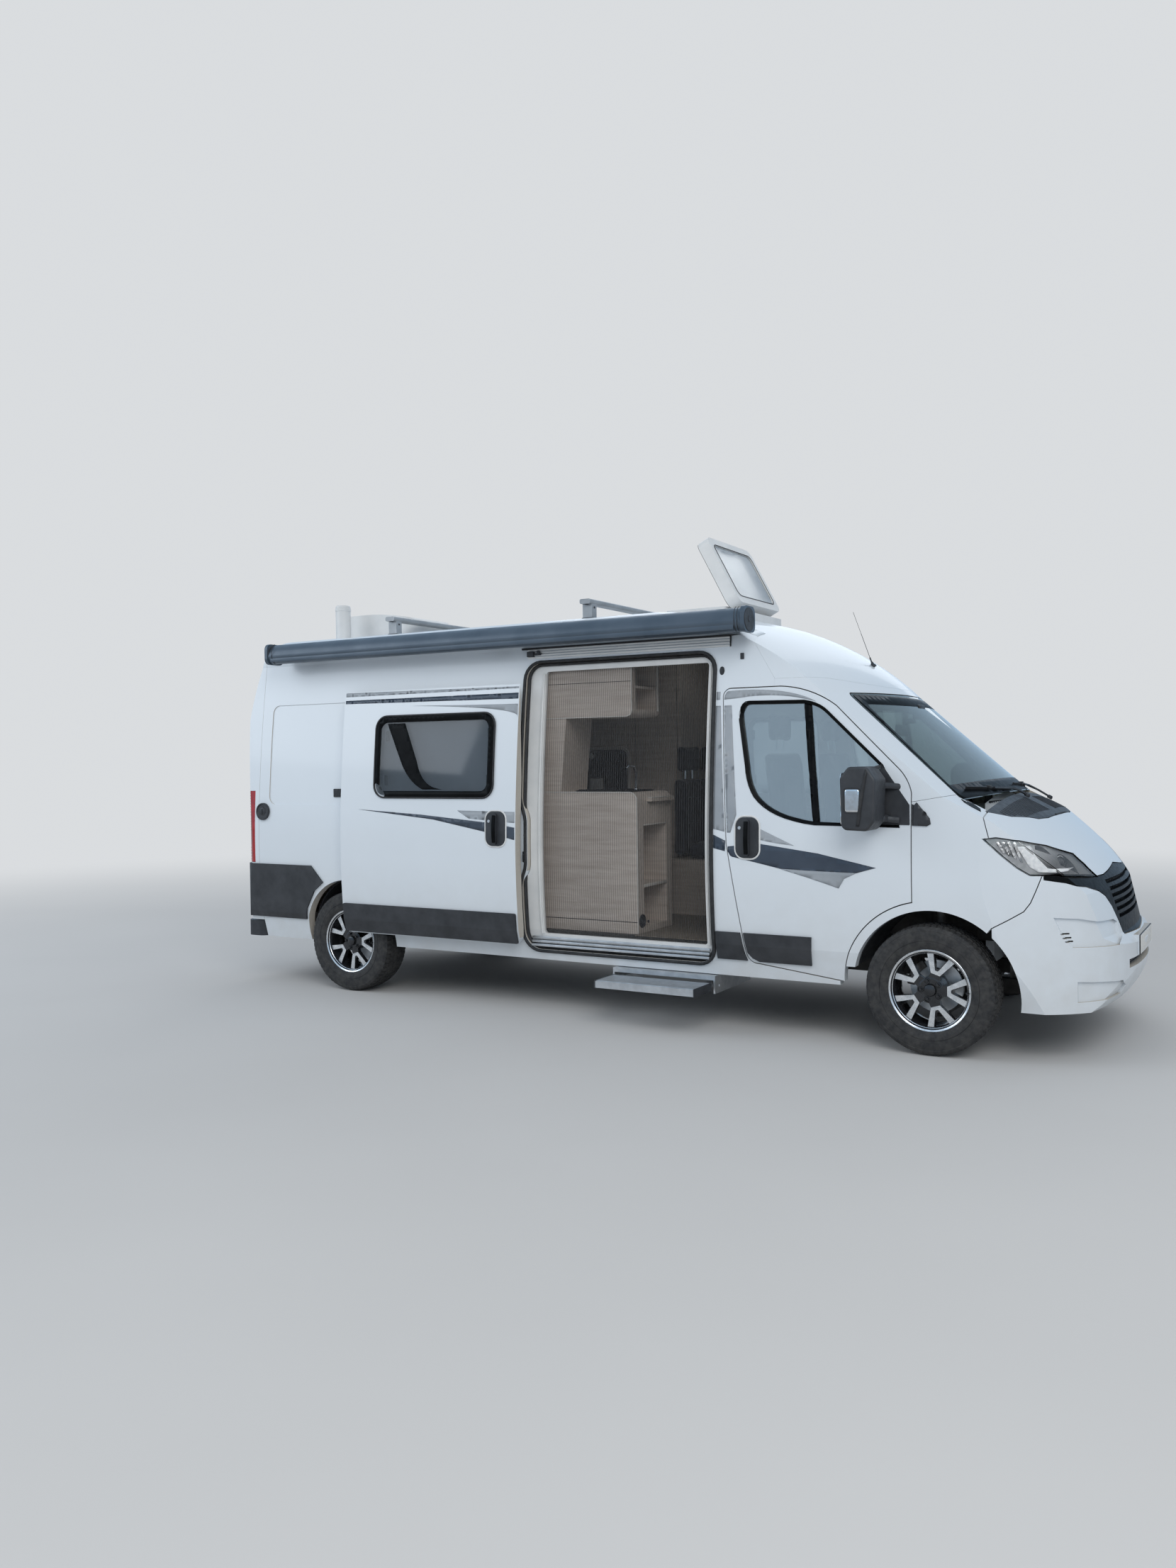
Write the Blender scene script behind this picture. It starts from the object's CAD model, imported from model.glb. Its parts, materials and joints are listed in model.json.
"""The looks of a camper van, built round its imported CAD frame: finishes, trim, soft pieces and light."""

import json
from math import cos, pi, radians, sin, sqrt

import bmesh
import bpy
from mathutils import Matrix, Vector
from mathutils.bvhtree import BVHTree
from mathutils.geometry import delaunay_2d_cdt


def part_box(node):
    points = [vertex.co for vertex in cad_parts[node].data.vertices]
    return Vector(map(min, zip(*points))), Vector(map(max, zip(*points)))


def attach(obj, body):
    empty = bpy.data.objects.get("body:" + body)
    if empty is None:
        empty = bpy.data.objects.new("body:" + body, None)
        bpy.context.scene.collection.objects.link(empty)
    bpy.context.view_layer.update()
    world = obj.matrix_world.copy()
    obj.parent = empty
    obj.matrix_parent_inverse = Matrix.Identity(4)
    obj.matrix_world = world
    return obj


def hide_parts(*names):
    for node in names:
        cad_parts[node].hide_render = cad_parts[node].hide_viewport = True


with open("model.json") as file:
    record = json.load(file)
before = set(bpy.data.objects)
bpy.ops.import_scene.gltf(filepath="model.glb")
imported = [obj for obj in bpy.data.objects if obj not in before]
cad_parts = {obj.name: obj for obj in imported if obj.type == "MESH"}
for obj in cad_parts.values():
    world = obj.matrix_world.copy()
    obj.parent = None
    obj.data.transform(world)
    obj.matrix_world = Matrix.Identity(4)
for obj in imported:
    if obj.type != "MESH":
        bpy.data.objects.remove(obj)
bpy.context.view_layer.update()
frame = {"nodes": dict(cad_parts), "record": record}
nodes = frame["nodes"]

# The frame's own places, in metres: X forward, Y to the van's left, Z up from the ground.
RIGHT, LEFT = -1, 1
SIDES = ((RIGHT, "right"), (LEFT, "left"))
FRONT_AXLE_X = 2.051
REAR_AXLE_X = -1.984
WHEEL_Z = 0.348
TRACK = {"front": 0.905, "rear": 0.895}
SLID = Vector((-1.319, -0.085, 0))
OPENING = (-0.51, 0.808, 0.397, 2.209)
OPENING_R = 0.11
FLOOR_Z = 0.52


# Finishes

def new_material(name):
    """An empty node material with its shader and object coordinates."""
    mat = bpy.data.materials.new(name)
    mat.use_nodes = True
    tree = mat.node_tree
    shader = tree.nodes["Principled BSDF"]
    place = tree.nodes.new("ShaderNodeTexCoord").outputs["Object"]
    return mat, tree, shader, place


def add_node(tree, kind, links=(), **values):
    """A node with its named inputs set or linked."""
    node = tree.nodes.new(kind)
    for key, value in values.items():
        if hasattr(node, key):
            setattr(node, key, value)
        else:
            node.inputs[key.replace("_", " ").title()].default_value = value
    for socket, source in links:
        tree.links.new(source, node.inputs[socket])
    return node


def dial(node, **values):
    """Set a node's inputs by name, with _ for a space."""
    for key, value in values.items():
        node.inputs[key.replace("_", " ")].default_value = value


def remap(tree, factor, source=(0.0, 1.0), target=(0.0, 1.0)):
    """A factor moved from one range to another."""
    node = add_node(tree, "ShaderNodeMapRange", [("Value", factor)])
    dial(node, From_Min=source[0], From_Max=source[1], To_Min=target[0], To_Max=target[1])
    return node.outputs[0]


def noise(tree, place, scale, detail=3.0, rough=0.5):
    """A noise factor at the given scale."""
    node = add_node(tree, "ShaderNodeTexNoise", [("Vector", place)], Scale=scale, Detail=detail)
    dial(node, Roughness=rough)
    return node.outputs["Fac"]


def ramp(tree, factor, stops):
    """A colour ramp through (position, colour) stops."""
    node = add_node(tree, "ShaderNodeValToRGB", [("Fac", factor)])
    while len(node.color_ramp.elements) < len(stops):
        node.color_ramp.elements.new(0.5)
    for element, (position, colour) in zip(node.color_ramp.elements, stops):
        element.position = position
        element.color = (*colour[:3], 1)
    return node.outputs["Color"]


def math_node(tree, operation, a, b=None):
    """One arithmetic step on sockets or numbers."""
    node = tree.nodes.new("ShaderNodeMath")
    node.operation = operation
    for socket, value in zip(node.inputs, (a, b)):
        if value is None:
            continue
        if isinstance(value, (int, float)):
            socket.default_value = value
        else:
            tree.links.new(value, socket)
    return node.outputs[0]


def mix(tree, factor, a, b):
    """A colour mix of two sockets or colours."""
    node = tree.nodes.new("ShaderNodeMix")
    node.data_type = "RGBA"
    tree.links.new(factor, node.inputs[0])
    for socket, value in ((node.inputs[6], a), (node.inputs[7], b)):
        if isinstance(value, (tuple, list)):
            socket.default_value = (*value[:3], 1)
        else:
            tree.links.new(value, socket)
    return node.outputs[2]


def bump(tree, shader, height, strength, distance=0.001):
    """Relief from a height socket on the shader's normal."""
    node = add_node(tree, "ShaderNodeBump", [("Height", height)])
    dial(node, Strength=strength, Distance=distance)
    tree.links.new(node.outputs["Normal"], shader.inputs["Normal"])


def finish(name, dark, light, scale=6.0, rough=(0.4, 0.5), metal=0.0, grain=None, **sockets):
    """Two close colours mixed by noise, a varying roughness, and grain=(scale, strength) as relief."""
    mat, tree, shader, place = new_material(name)
    cloud = noise(tree, place, scale)
    tree.links.new(ramp(tree, cloud, [(0.35, dark), (0.65, light)]), shader.inputs["Base Color"])
    smear = remap(tree, noise(tree, place, scale * 3.3, 5.0), (0.3, 0.7), rough)
    tree.links.new(smear, shader.inputs["Roughness"])
    dial(shader, Metallic=metal, **sockets)
    if grain:
        bump(tree, shader, noise(tree, place, grain[0], 2.0), grain[1])
    return mat


def paint(name, dark, light, inside):
    """Gloss paint with road film low down; faces that look inwards carry the cabin's lining instead."""
    mat, tree, shader, place = new_material(name)
    base = ramp(tree, noise(tree, place, 0.9, 2.0), [(0.3, dark), (0.7, light)])
    height = add_node(tree, "ShaderNodeSeparateXYZ", [("Vector", place)]).outputs["Z"]
    low = remap(tree, height, (0.95, 0.28))
    film = math_node(tree, "MULTIPLY", low, noise(tree, place, 9.0, 6.0))
    dusty = mix(tree, math_node(tree, "MULTIPLY", film, 0.42), base, (0.42, 0.39, 0.34))
    geometry = tree.nodes.new("ShaderNodeNewGeometry")
    from_middle = tree.nodes.new("ShaderNodeVectorMath")
    from_middle.operation = "SUBTRACT"
    tree.links.new(place, from_middle.inputs[0])
    from_middle.inputs[1].default_value = (0, 0, 1.3)
    facing = tree.nodes.new("ShaderNodeVectorMath")
    facing.operation = "DOT_PRODUCT"
    tree.links.new(from_middle.outputs[0], facing.inputs[0])
    tree.links.new(geometry.outputs["Normal"], facing.inputs[1])
    inward = math_node(tree, "LESS_THAN", facing.outputs["Value"], -0.3)
    felt = ramp(tree, noise(tree, place, 160.0), [(0.3, inside), (0.7, tuple(c * 1.12 for c in inside))])
    tree.links.new(mix(tree, inward, dusty, felt), shader.inputs["Base Color"])
    worn = math_node(tree, "MULTIPLY", noise(tree, place, 3.0, 2.0), 0.04)
    gloss = math_node(tree, "ADD", worn, 0.3)
    rough = math_node(tree, "ADD", gloss, math_node(tree, "MULTIPLY", inward, 0.5))
    tree.links.new(math_node(tree, "ADD", rough, math_node(tree, "MULTIPLY", film, 0.3)),
        shader.inputs["Roughness"])
    dial(shader, Coat_Weight=0.35, Coat_Roughness=0.08)
    return mat


def glass(name, colour, rough=0.01, film=(0.0, 0.02), mirror=0.0, ior=1.45, clear=0.92):
    """A tinted pane with a faint uneven film on it."""
    mat, tree, shader, place = new_material(name)
    tint = ramp(tree, noise(tree, place, 3.0), [(0.3, colour), (0.7, tuple(c * 1.1 for c in colour))])
    tree.links.new(tint, shader.inputs["Base Color"])
    haze = remap(tree, noise(tree, place, 7.0, 5.0), target=(rough + film[0], rough + film[1]))
    tree.links.new(haze, shader.inputs["Roughness"])
    dial(shader, Transmission_Weight=clear, IOR=ior, Coat_Weight=mirror, Coat_IOR=3.2, Coat_Roughness=0.015)
    return mat


def woven(name, dark, light, pitch=900.0, rough=0.9):
    """Upholstery cloth: a crossed weave of two yarns with slow shade changes."""
    mat, tree, shader, place = new_material(name)
    warp = add_node(tree, "ShaderNodeTexWave", [("Vector", place)], Scale=pitch / 6)
    weft = add_node(tree, "ShaderNodeTexWave", [("Vector", place)], Scale=pitch / 6)
    weft.bands_direction = "Z"
    weave = math_node(tree, "MULTIPLY", warp.outputs["Fac"], weft.outputs["Fac"])
    shade = math_node(tree, "ADD", math_node(tree, "MULTIPLY", weave, 0.5),
        math_node(tree, "MULTIPLY", noise(tree, place, 30.0, 6.0), 0.6))
    tree.links.new(ramp(tree, shade, [(0.25, dark), (0.8, light)]), shader.inputs["Base Color"])
    dial(shader, Roughness=rough, Sheen_Weight=0.25)
    bump(tree, shader, weave, 0.25, 0.0006)
    return mat


def timber(name, dark, light, axis="Z"):
    """Light laminate with long grain along one axis and fine pores."""
    mat, tree, shader, place = new_material(name)
    squeeze = add_node(tree, "ShaderNodeMapping", [("Vector", place)])
    dial(squeeze, Scale=(1, 1, 0.08) if axis == "Z" else (0.08, 1, 1))
    grain = noise(tree, squeeze.outputs[0], 42.0, 8.0, 0.62)
    tree.links.new(ramp(tree, grain, [(0.32, dark), (0.66, light)]), shader.inputs["Base Color"])
    pores = noise(tree, squeeze.outputs[0], 260.0, 3.0)
    tree.links.new(remap(tree, pores, target=(0.38, 0.56)), shader.inputs["Roughness"])
    bump(tree, shader, pores, 0.08, 0.0005)
    return mat


def lamp_interior():
    """The headlamps' inside: silver behind, near black towards the nose."""
    mat, tree, shader, place = new_material("lamp_interior")
    forward = add_node(tree, "ShaderNodeSeparateXYZ", [("Vector", place)]).outputs["X"]
    front = remap(tree, forward, (2.56, 2.66))
    grain = ramp(tree, noise(tree, place, 40.0), [(0.3, (0.34, 0.36, 0.38)), (0.7, (0.46, 0.48, 0.5))])
    tree.links.new(mix(tree, front, grain, (0.018, 0.02, 0.024)), shader.inputs["Base Color"])
    dial(shader, Metallic=0.5, Roughness=0.3)
    bump(tree, shader, noise(tree, place, 600.0), 0.04)
    return mat


WHITE = (0.74, 0.805, 0.87)
M = {
    "body_white": paint("paint_white", (0.71, 0.775, 0.84), WHITE, (0.5, 0.47, 0.42)),
    "cab_glass": glass("cab_glass", (0.42, 0.5, 0.5), 0.01, (0.0, 0.01), 1.0),
    "tinted_acrylic": glass("tinted_acrylic", (0.3, 0.33, 0.36), 0.04),
    "smoked_acrylic": glass("smoked_acrylic", (0.72, 0.74, 0.75), 0.16),
    "lamp_clear": glass("lamp_clear", (0.95, 0.97, 0.99), 0.0, (0.0, 0.004), ior=1.12, clear=1.0),
    "lamp_red": finish("lamp_red", (0.3, 0.008, 0.01), (0.42, 0.012, 0.014), 30, (0.08, 0.16),
                       grain=(260, 0.2), Coat_Weight=0.6),
    "black_plastic": finish("black_plastic", (0.022, 0.024, 0.028), (0.038, 0.041, 0.047), 9, (0.45, 0.62),
                            grain=(900, 0.22)),
    "gloss_black": finish("gloss_black", (0.004, 0.0045, 0.005), (0.007, 0.008, 0.009), 12, (0.3, 0.42),
                          grain=(500, 0.02), Specular_IOR_Level=0.06),
    "white_plastic": finish("white_plastic", (0.7, 0.72, 0.73), (0.77, 0.785, 0.79), 7, (0.34, 0.48),
                            grain=(700, 0.06)),
    "mesh": finish("screen_cloth", (0.05, 0.052, 0.055), (0.085, 0.088, 0.09), 90, (0.8, 0.95)),
    "underbody_black": finish("underbody_black", (0.02, 0.02, 0.02), (0.055, 0.052, 0.048), 7, (0.6, 0.9),
                              grain=(160, 0.5)),
    "cast_metal": finish("cast_metal", (0.1, 0.095, 0.09), (0.22, 0.21, 0.2), 12, (0.5, 0.75), 0.7,
                         (240, 0.5)),
    "awning_grey": finish("awning_grey", (0.06, 0.085, 0.115), (0.078, 0.105, 0.138), 5, (0.3, 0.42), 0.25,
                          (800, 0.05)),
    "bar_grey": finish("bar_grey", (0.3, 0.315, 0.33), (0.38, 0.395, 0.41), 10, (0.35, 0.5), 0.4,
                       (600, 0.1)),
    "aluminium": finish("aluminium", (0.5, 0.515, 0.53), (0.62, 0.635, 0.65), 18, (0.28, 0.44), 0.85,
                        (700, 0.1)),
    "light_wood": timber("light_wood", (0.5, 0.435, 0.385), (0.67, 0.6, 0.545), "X"),
    "grey_fabric": woven("grey_fabric", (0.085, 0.09, 0.1), (0.22, 0.225, 0.24)),
    "dash_plastic": finish("dash_plastic", (0.022, 0.023, 0.026), (0.045, 0.047, 0.05), 12, (0.55, 0.7),
                           grain=(700, 0.3)),
    "alloy": finish("alloy_black", (0.014, 0.015, 0.018), (0.028, 0.03, 0.034), 20, (0.16, 0.28), 0.3,
                    (500, 0.05), Coat_Weight=0.4),
    "tyre_rubber": finish("tyre_rubber", (0.018, 0.018, 0.019), (0.042, 0.041, 0.04), 26, (0.62, 0.86),
                          grain=(420, 0.35)),
}
for row in frame["record"]["subparts"]:
    cad = nodes[row["node"]]
    cad.data.materials.clear()
    cad.data.materials.append(M[row["material_slot"]])
nodes["windscreen"].data.materials[0] = glass("screen_glass", (0.26, 0.34, 0.33), 0.0, (0.0, 0.01))
nodes["lamp_bowls"].data.materials[0] = lamp_interior()
RUBBER = finish("seal_rubber", (0.012, 0.012, 0.013), (0.026, 0.026, 0.028), 20, (0.55, 0.7),
    grain=(500, 0.12))
MACHINED = finish("machined_silver", (0.6, 0.62, 0.64), (0.78, 0.79, 0.8), 30, (0.2, 0.32), 0.8,
    (1200, 0.06))
GUIDE = finish("light_guide", (0.72, 0.76, 0.8), (0.86, 0.89, 0.92), 60, (0.15, 0.25), grain=(300, 0.1))
CHROME = finish("bright_metal", (0.7, 0.71, 0.72), (0.8, 0.81, 0.82), 20, (0.08, 0.16), 1.0)
FILM_DARK = finish("film_dark", (0.035, 0.05, 0.075), (0.05, 0.068, 0.098), 6, (0.3, 0.42),
    grain=(600, 0.03))
FILM_GREY = finish("film_grey", (0.3, 0.335, 0.375), (0.36, 0.395, 0.435), 6, (0.34, 0.46),
    grain=(600, 0.03))
AMBER = finish("lens_amber", (0.62, 0.25, 0.03), (0.72, 0.32, 0.05), 30, (0.1, 0.2))
DARK_CLOTH = woven("dark_cloth", (0.03, 0.033, 0.04), (0.075, 0.08, 0.092))
LINEN = woven("mattress_linen", (0.42, 0.41, 0.39), (0.6, 0.59, 0.57))
CARPET = finish("floor_vinyl", (0.16, 0.135, 0.11), (0.24, 0.205, 0.165), 30, (0.4, 0.6), grain=(300, 0.2))
BLANK_PLATE = finish("plate_white", (0.7, 0.7, 0.68), (0.76, 0.76, 0.74), 20, (0.25, 0.35),
    grain=(500, 0.05))
EDGE_BAND = finish("edge_band", (0.62, 0.6, 0.57), (0.7, 0.68, 0.65), 20, (0.4, 0.5), grain=(500, 0.05))

# A piece that names no slot takes its material's.
SLOTS = {mat.name: key for key, mat in M.items()}
for mat, key in ((RUBBER, "black_plastic"), (CHROME, "aluminium"), (FILM_DARK, "awning_grey"),
                 (FILM_GREY, "bar_grey"), (DARK_CLOTH, "grey_fabric"), (LINEN, "grey_fabric"),
                 (CARPET, "underbody_black"), (GUIDE, "lamp_clear"), (MACHINED, "alloy"), (AMBER, "lamp_red"),
                 (EDGE_BAND, "light_wood"), (BLANK_PLATE, "white_plastic")):
    SLOTS[mat.name] = key
BLACK, GLOSS = M["black_plastic"], M["gloss_black"]


# Mesh helpers

MERGE = 1e-5
ON_AXIS = 0.0002


def link(name, data):
    """A new object in the scene."""
    obj = bpy.data.objects.new(name, data)
    bpy.context.scene.collection.objects.link(obj)
    return obj


def settle(obj, body):
    """The object riding its body, in its material slot."""
    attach(obj, body)
    return obj


def thicken(obj, thick, offset):
    """A wall of the given thickness on a surface."""
    shell = obj.modifiers.new("Solidify", "SOLIDIFY")
    shell.thickness = thick
    shell.offset = offset


class Piece:
    """A mesh under construction; done() turns it into an object that rides a body."""

    def __init__(self):
        self.bm = bmesh.new()

    def box(self, low, high, bevel=0.003, turn=None, segments=2):
        """A block between two corners with its edges rounded; turn is a matrix about its middle."""
        low, high = Vector(low), Vector(high)
        middle = (low + high) / 2
        made = bmesh.ops.create_cube(self.bm, size=1)["verts"]
        for v in made:
            v.co = Vector(a * abs(b) for a, b in zip(v.co, high - low))
        if bevel > 0:
            edges = list({e for v in made for e in v.link_edges})
            cut = bmesh.ops.bevel(self.bm, geom=edges, offset=bevel, segments=segments, affect="EDGES",
                profile=0.6)
            made = list({v for f in cut["faces"] for v in f.verts} | {v for v in made if v.is_valid})
        for v in made:
            v.co = middle + (turn @ v.co if turn else v.co)
        return self

    def sweep(self, points, section, closed=False, up=(0, 0, 1), ends=True):
        """A section of (across, upward) offsets carried along a line of points."""
        points = [Vector(p) for p in points]
        count = len(points)
        rings = []
        for i, p in enumerate(points):
            before = points[i - 1] if closed or i else p
            after = points[(i + 1) % count] if closed or i < count - 1 else p
            along = (after - before).normalized()
            across = along.cross(Vector(up)).normalized()
            upward = across.cross(along)
            rings.append([self.bm.verts.new(p + across * a + upward * b) for a, b in section])
        last = count if closed else count - 1
        for i in range(last):
            first, second = rings[i], rings[(i + 1) % count]
            for j in range(len(section)):
                k = (j + 1) % len(section)
                self.bm.faces.new((first[j], first[k], second[k], second[j]))
        if ends and not closed:
            self.bm.faces.new(rings[0])
            self.bm.faces.new(rings[-1][::-1])
        return self

    def tube(self, points, radius, sides=10, closed=False, up=(0, 0, 1)):
        """A round rod along a line of points."""
        return self.sweep(points, round_section(radius, sides), closed, up)

    def lathe(self, profile, centre, axis=(0, 1, 0), steps=48):
        """A (radius, along) profile turned about an axis: a ring, unless the profile ends on the axis."""
        closed = min(profile[0][0], profile[-1][0]) > ON_AXIS
        axis = Vector(axis).normalized()
        side = axis.orthogonal().normalized()
        rings = []
        for i in range(steps):
            spoke = Matrix.Rotation(2 * pi * i / steps, 3, axis) @ side
            rings.append([self.bm.verts.new(Vector(centre) + spoke * r + axis * t) for r, t in profile])
        span = len(profile) if closed else len(profile) - 1
        for i in range(steps):
            a, b = rings[i], rings[(i + 1) % steps]
            for j in range(span):
                k = (j + 1) % len(profile)
                self.bm.faces.new((a[j], a[k], b[k], b[j]))
        if not closed:
            for end in (0, -1):
                if profile[end][0] > 1e-6:
                    self.bm.faces.new([ring[end] for ring in rings])
        return self

    def button(self, high, top, foot, centre, axis, steps):
        """A low disc with a sloping edge."""
        return self.lathe([(0.0001, high), (top, high), (foot, 0), (0.0001, 0)], centre, axis, steps)

    def prism(self, outline, depth):
        """A flat outline of 3D points carried by the vector depth."""
        bottom = [self.bm.verts.new(Vector(p)) for p in outline]
        top = [self.bm.verts.new(Vector(p) + Vector(depth)) for p in outline]
        self.bm.faces.new(bottom)
        self.bm.faces.new(top[::-1])
        for i in range(len(outline)):
            k = (i + 1) % len(outline)
            self.bm.faces.new((bottom[i], top[i], top[k], bottom[k]))
        return self

    def mesh(self, name, mat, smooth=None, merge=True):
        """The geometry as a mesh, with edges sharper than smooth degrees kept; the piece is used up."""
        if merge:
            bmesh.ops.remove_doubles(self.bm, verts=self.bm.verts, dist=MERGE)
            bmesh.ops.recalc_face_normals(self.bm, faces=self.bm.faces)
        mesh = bpy.data.meshes.new(name)
        self.bm.to_mesh(mesh)
        self.bm.free()
        mesh.materials.append(mat)
        mesh.shade_smooth()
        if smooth is not None:
            mesh.set_sharp_from_angle(angle=radians(smooth))
        return mesh

    def done(self, name, mat, body="root", slot=None, smooth=35, bevel=0.0):
        """The finished object, on its body and in its material's slot unless another is named."""
        obj = link(name, self.mesh(name, mat, smooth))
        if bevel:
            edge = obj.modifiers.new("Bevel", "BEVEL")
            edge.width = bevel
            edge.segments = 2
        if body:
            settle(obj, body)
        return obj


def turns(count):
    """Angles evenly spaced round a circle."""
    return [2 * pi * i / count for i in range(count)]


def round_section(radius, sides=10):
    """A circle as a sweep section."""
    return [(radius * cos(a), radius * sin(a)) for a in turns(sides)]


def flat_section(half, low, high):
    """A flat bar as a sweep section."""
    return [(-half, low), (half, low), (half, high), (-half, high)]


def rounded(x_low, x_high, z_low, z_high, radius, steps=6):
    """A rectangle's outline with round corners, in side view, starting at its lower front corner."""
    points = []
    for cx, cz, start in ((x_high - radius, z_low + radius, -90), (x_high - radius, z_high - radius, 0),
                          (x_low + radius, z_high - radius, 90), (x_low + radius, z_low + radius, 180)):
        for i in range(steps + 1):
            angle = radians(start + 90 * i / steps)
            points.append((cx + radius * cos(angle), cz + radius * sin(angle)))
    return points


def fine(outline, step=0.04, closed=True):
    """The same outline with points at most a step apart."""
    points = []
    pairs = zip(outline, outline[1:] + outline[:1]) if closed else zip(outline, outline[1:])
    for (ax, az), (bx, bz) in pairs:
        count = max(1, int(sqrt((bx - ax) ** 2 + (bz - az) ** 2) / step + 0.999))
        points += [(ax + (bx - ax) * i / count, az + (bz - az) * i / count) for i in range(count)]
    return points if closed else points + [outline[-1]]


trees = {}


def tree_of(name):
    """The search tree of a CAD node's mesh."""
    if name not in trees:
        mesh = nodes[name].data
        trees[name] = BVHTree.FromPolygons([v.co for v in mesh.vertices], [p.vertices for p in mesh.polygons])
    return trees[name]


def first_hit(names, origin, direction):
    """The first point and normal on these nodes along a ray, or None."""
    hits = [tree_of(n).ray_cast(Vector(origin), Vector(direction)) for n in names]
    hits = [h for h in hits if h[0] is not None]
    if not hits:
        return None
    point, normal, _, _ = min(hits, key=lambda h: h[3])
    return point, normal if normal.dot(Vector(direction)) < 0 else -normal


VIEWS = {
    RIGHT: (lambda a, b: (a, -3, b), Vector((0, 1, 0))),
    LEFT: (lambda a, b: (a, 3, b), Vector((0, -1, 0))),
    "front": (lambda a, b: (4, a, b), Vector((-1, 0, 0))),
    "rear": (lambda a, b: (-4, a, b), Vector((1, 0, 0))),
    "top": (lambda a, b: (a, b, 4), Vector((0, 0, -1))),
    "under": (lambda a, b: (a, b, -1), Vector((0, 0, 1))),
}


def lay(view, a, b, names, lift=0.0):
    """The first point of these nodes at place (a, b) of a view, lifted along its normal."""
    place, direction = VIEWS[view]
    hit = first_hit(names, place(a, b), direction)
    return None if hit is None else hit[0] + hit[1] * lift


def laid(view, places, names, lift=0.0):
    """The points of these nodes under a line of places in a view, without those that miss them."""
    spots = [lay(view, a, b, names, lift) for a, b in places]
    return [p for p in spots if p is not None]


def inside(point, outline):
    """Whether a side-view point is inside an outline."""
    x, z = point
    result = False
    for (ax, az), (bx, bz) in zip(outline, outline[1:] + outline[:1]):
        if (az > z) != (bz > z) and x < (bx - ax) * (z - az) / (bz - az) + ax:
            result = not result
    return result


def film(name, outline, view, names, mat, body="root", slot=None, lift=0.0012, thick=0.0006, step=0.03,
         holes=()):
    """A film or plate that follows the skin, from its outline in a view and any holes in it."""
    loops = [fine(outline, step)] + [fine(h, step) for h in holes]
    points = [p for loop in loops for p in loop]
    edges, start = [], 0
    for loop in loops:
        edges += [(start + i, start + (i + 1) % len(loop)) for i in range(len(loop))]
        start += len(loop)
    xs, zs = [p[0] for p in outline], [p[1] for p in outline]
    x = min(xs) + step / 2
    while x < max(xs):
        z = min(zs) + step / 2
        while z < max(zs):
            if inside((x, z), outline) and not any(inside((x, z), h) for h in holes):
                points.append((x, z))
            z += step
        x += step
    flat, _, faces, _, _, _ = delaunay_2d_cdt([Vector(p) for p in points], edges, [], 0, 1e-5)
    piece = Piece()
    placed = []
    for p in flat:
        spot = lay(view, p.x, p.y, names, lift)
        placed.append(piece.bm.verts.new(spot) if spot is not None else None)
    for face in faces:
        middle = sum((flat[i] for i in face), Vector((0, 0))) / len(face)
        if not inside(middle, outline) or any(inside(middle, h) for h in holes):
            continue
        if all(placed[i] is not None for i in face):
            piece.bm.faces.new([placed[i] for i in face])
    bmesh.ops.recalc_face_normals(piece.bm, faces=piece.bm.faces)
    if sum(f.normal.dot(VIEWS[view][1]) for f in piece.bm.faces) > 0:
        bmesh.ops.reverse_faces(piece.bm, faces=piece.bm.faces)
    obj = link(name, piece.mesh(name, mat, merge=False))
    thicken(obj, thick, 1)
    return settle(obj, body)


# The scene's light, floor and camera, which are not part of the object.

def camera():
    """The photograph's viewpoint, fitted to points on the right wheels and the body's rear end."""
    place = Vector((3.7625, -7.4, 1.5935))
    yaw, pitch, roll = radians(-30.644), radians(-1.1535), radians(-0.7544)
    focal_px, tall_px, sensor = 1708.2, 2212, 36
    ahead = Vector((sin(yaw) * cos(pitch), cos(yaw) * cos(pitch), sin(pitch)))
    across = Vector((cos(yaw), -sin(yaw), 0))
    upward = across.cross(ahead)
    right = cos(roll) * across + sin(roll) * upward
    up = -sin(roll) * across + cos(roll) * upward
    data = bpy.data.cameras.new("camera")
    data.sensor_fit = "VERTICAL"
    data.sensor_height = sensor
    data.lens = focal_px / tall_px * sensor
    data.clip_end = 200
    obj = link("camera", data)
    turn = Matrix((right, up, -ahead)).transposed()
    obj.matrix_world = Matrix.Translation(place) @ turn.to_4x4()
    bpy.context.scene.camera = obj


def lamp(name, place, target, size, watts, colour=(1, 1, 1)):
    """A soft square lamp aimed at a point."""
    data = bpy.data.lights.new(name, "AREA")
    data.size = size
    data.energy = watts
    data.color = colour
    obj = link(name, data)
    obj.location = place
    obj.rotation_euler = (Vector(target) - Vector(place)).to_track_quat("-Z", "Y").to_euler()


BACKDROP = (0.7, 0.72, 0.74)


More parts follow.
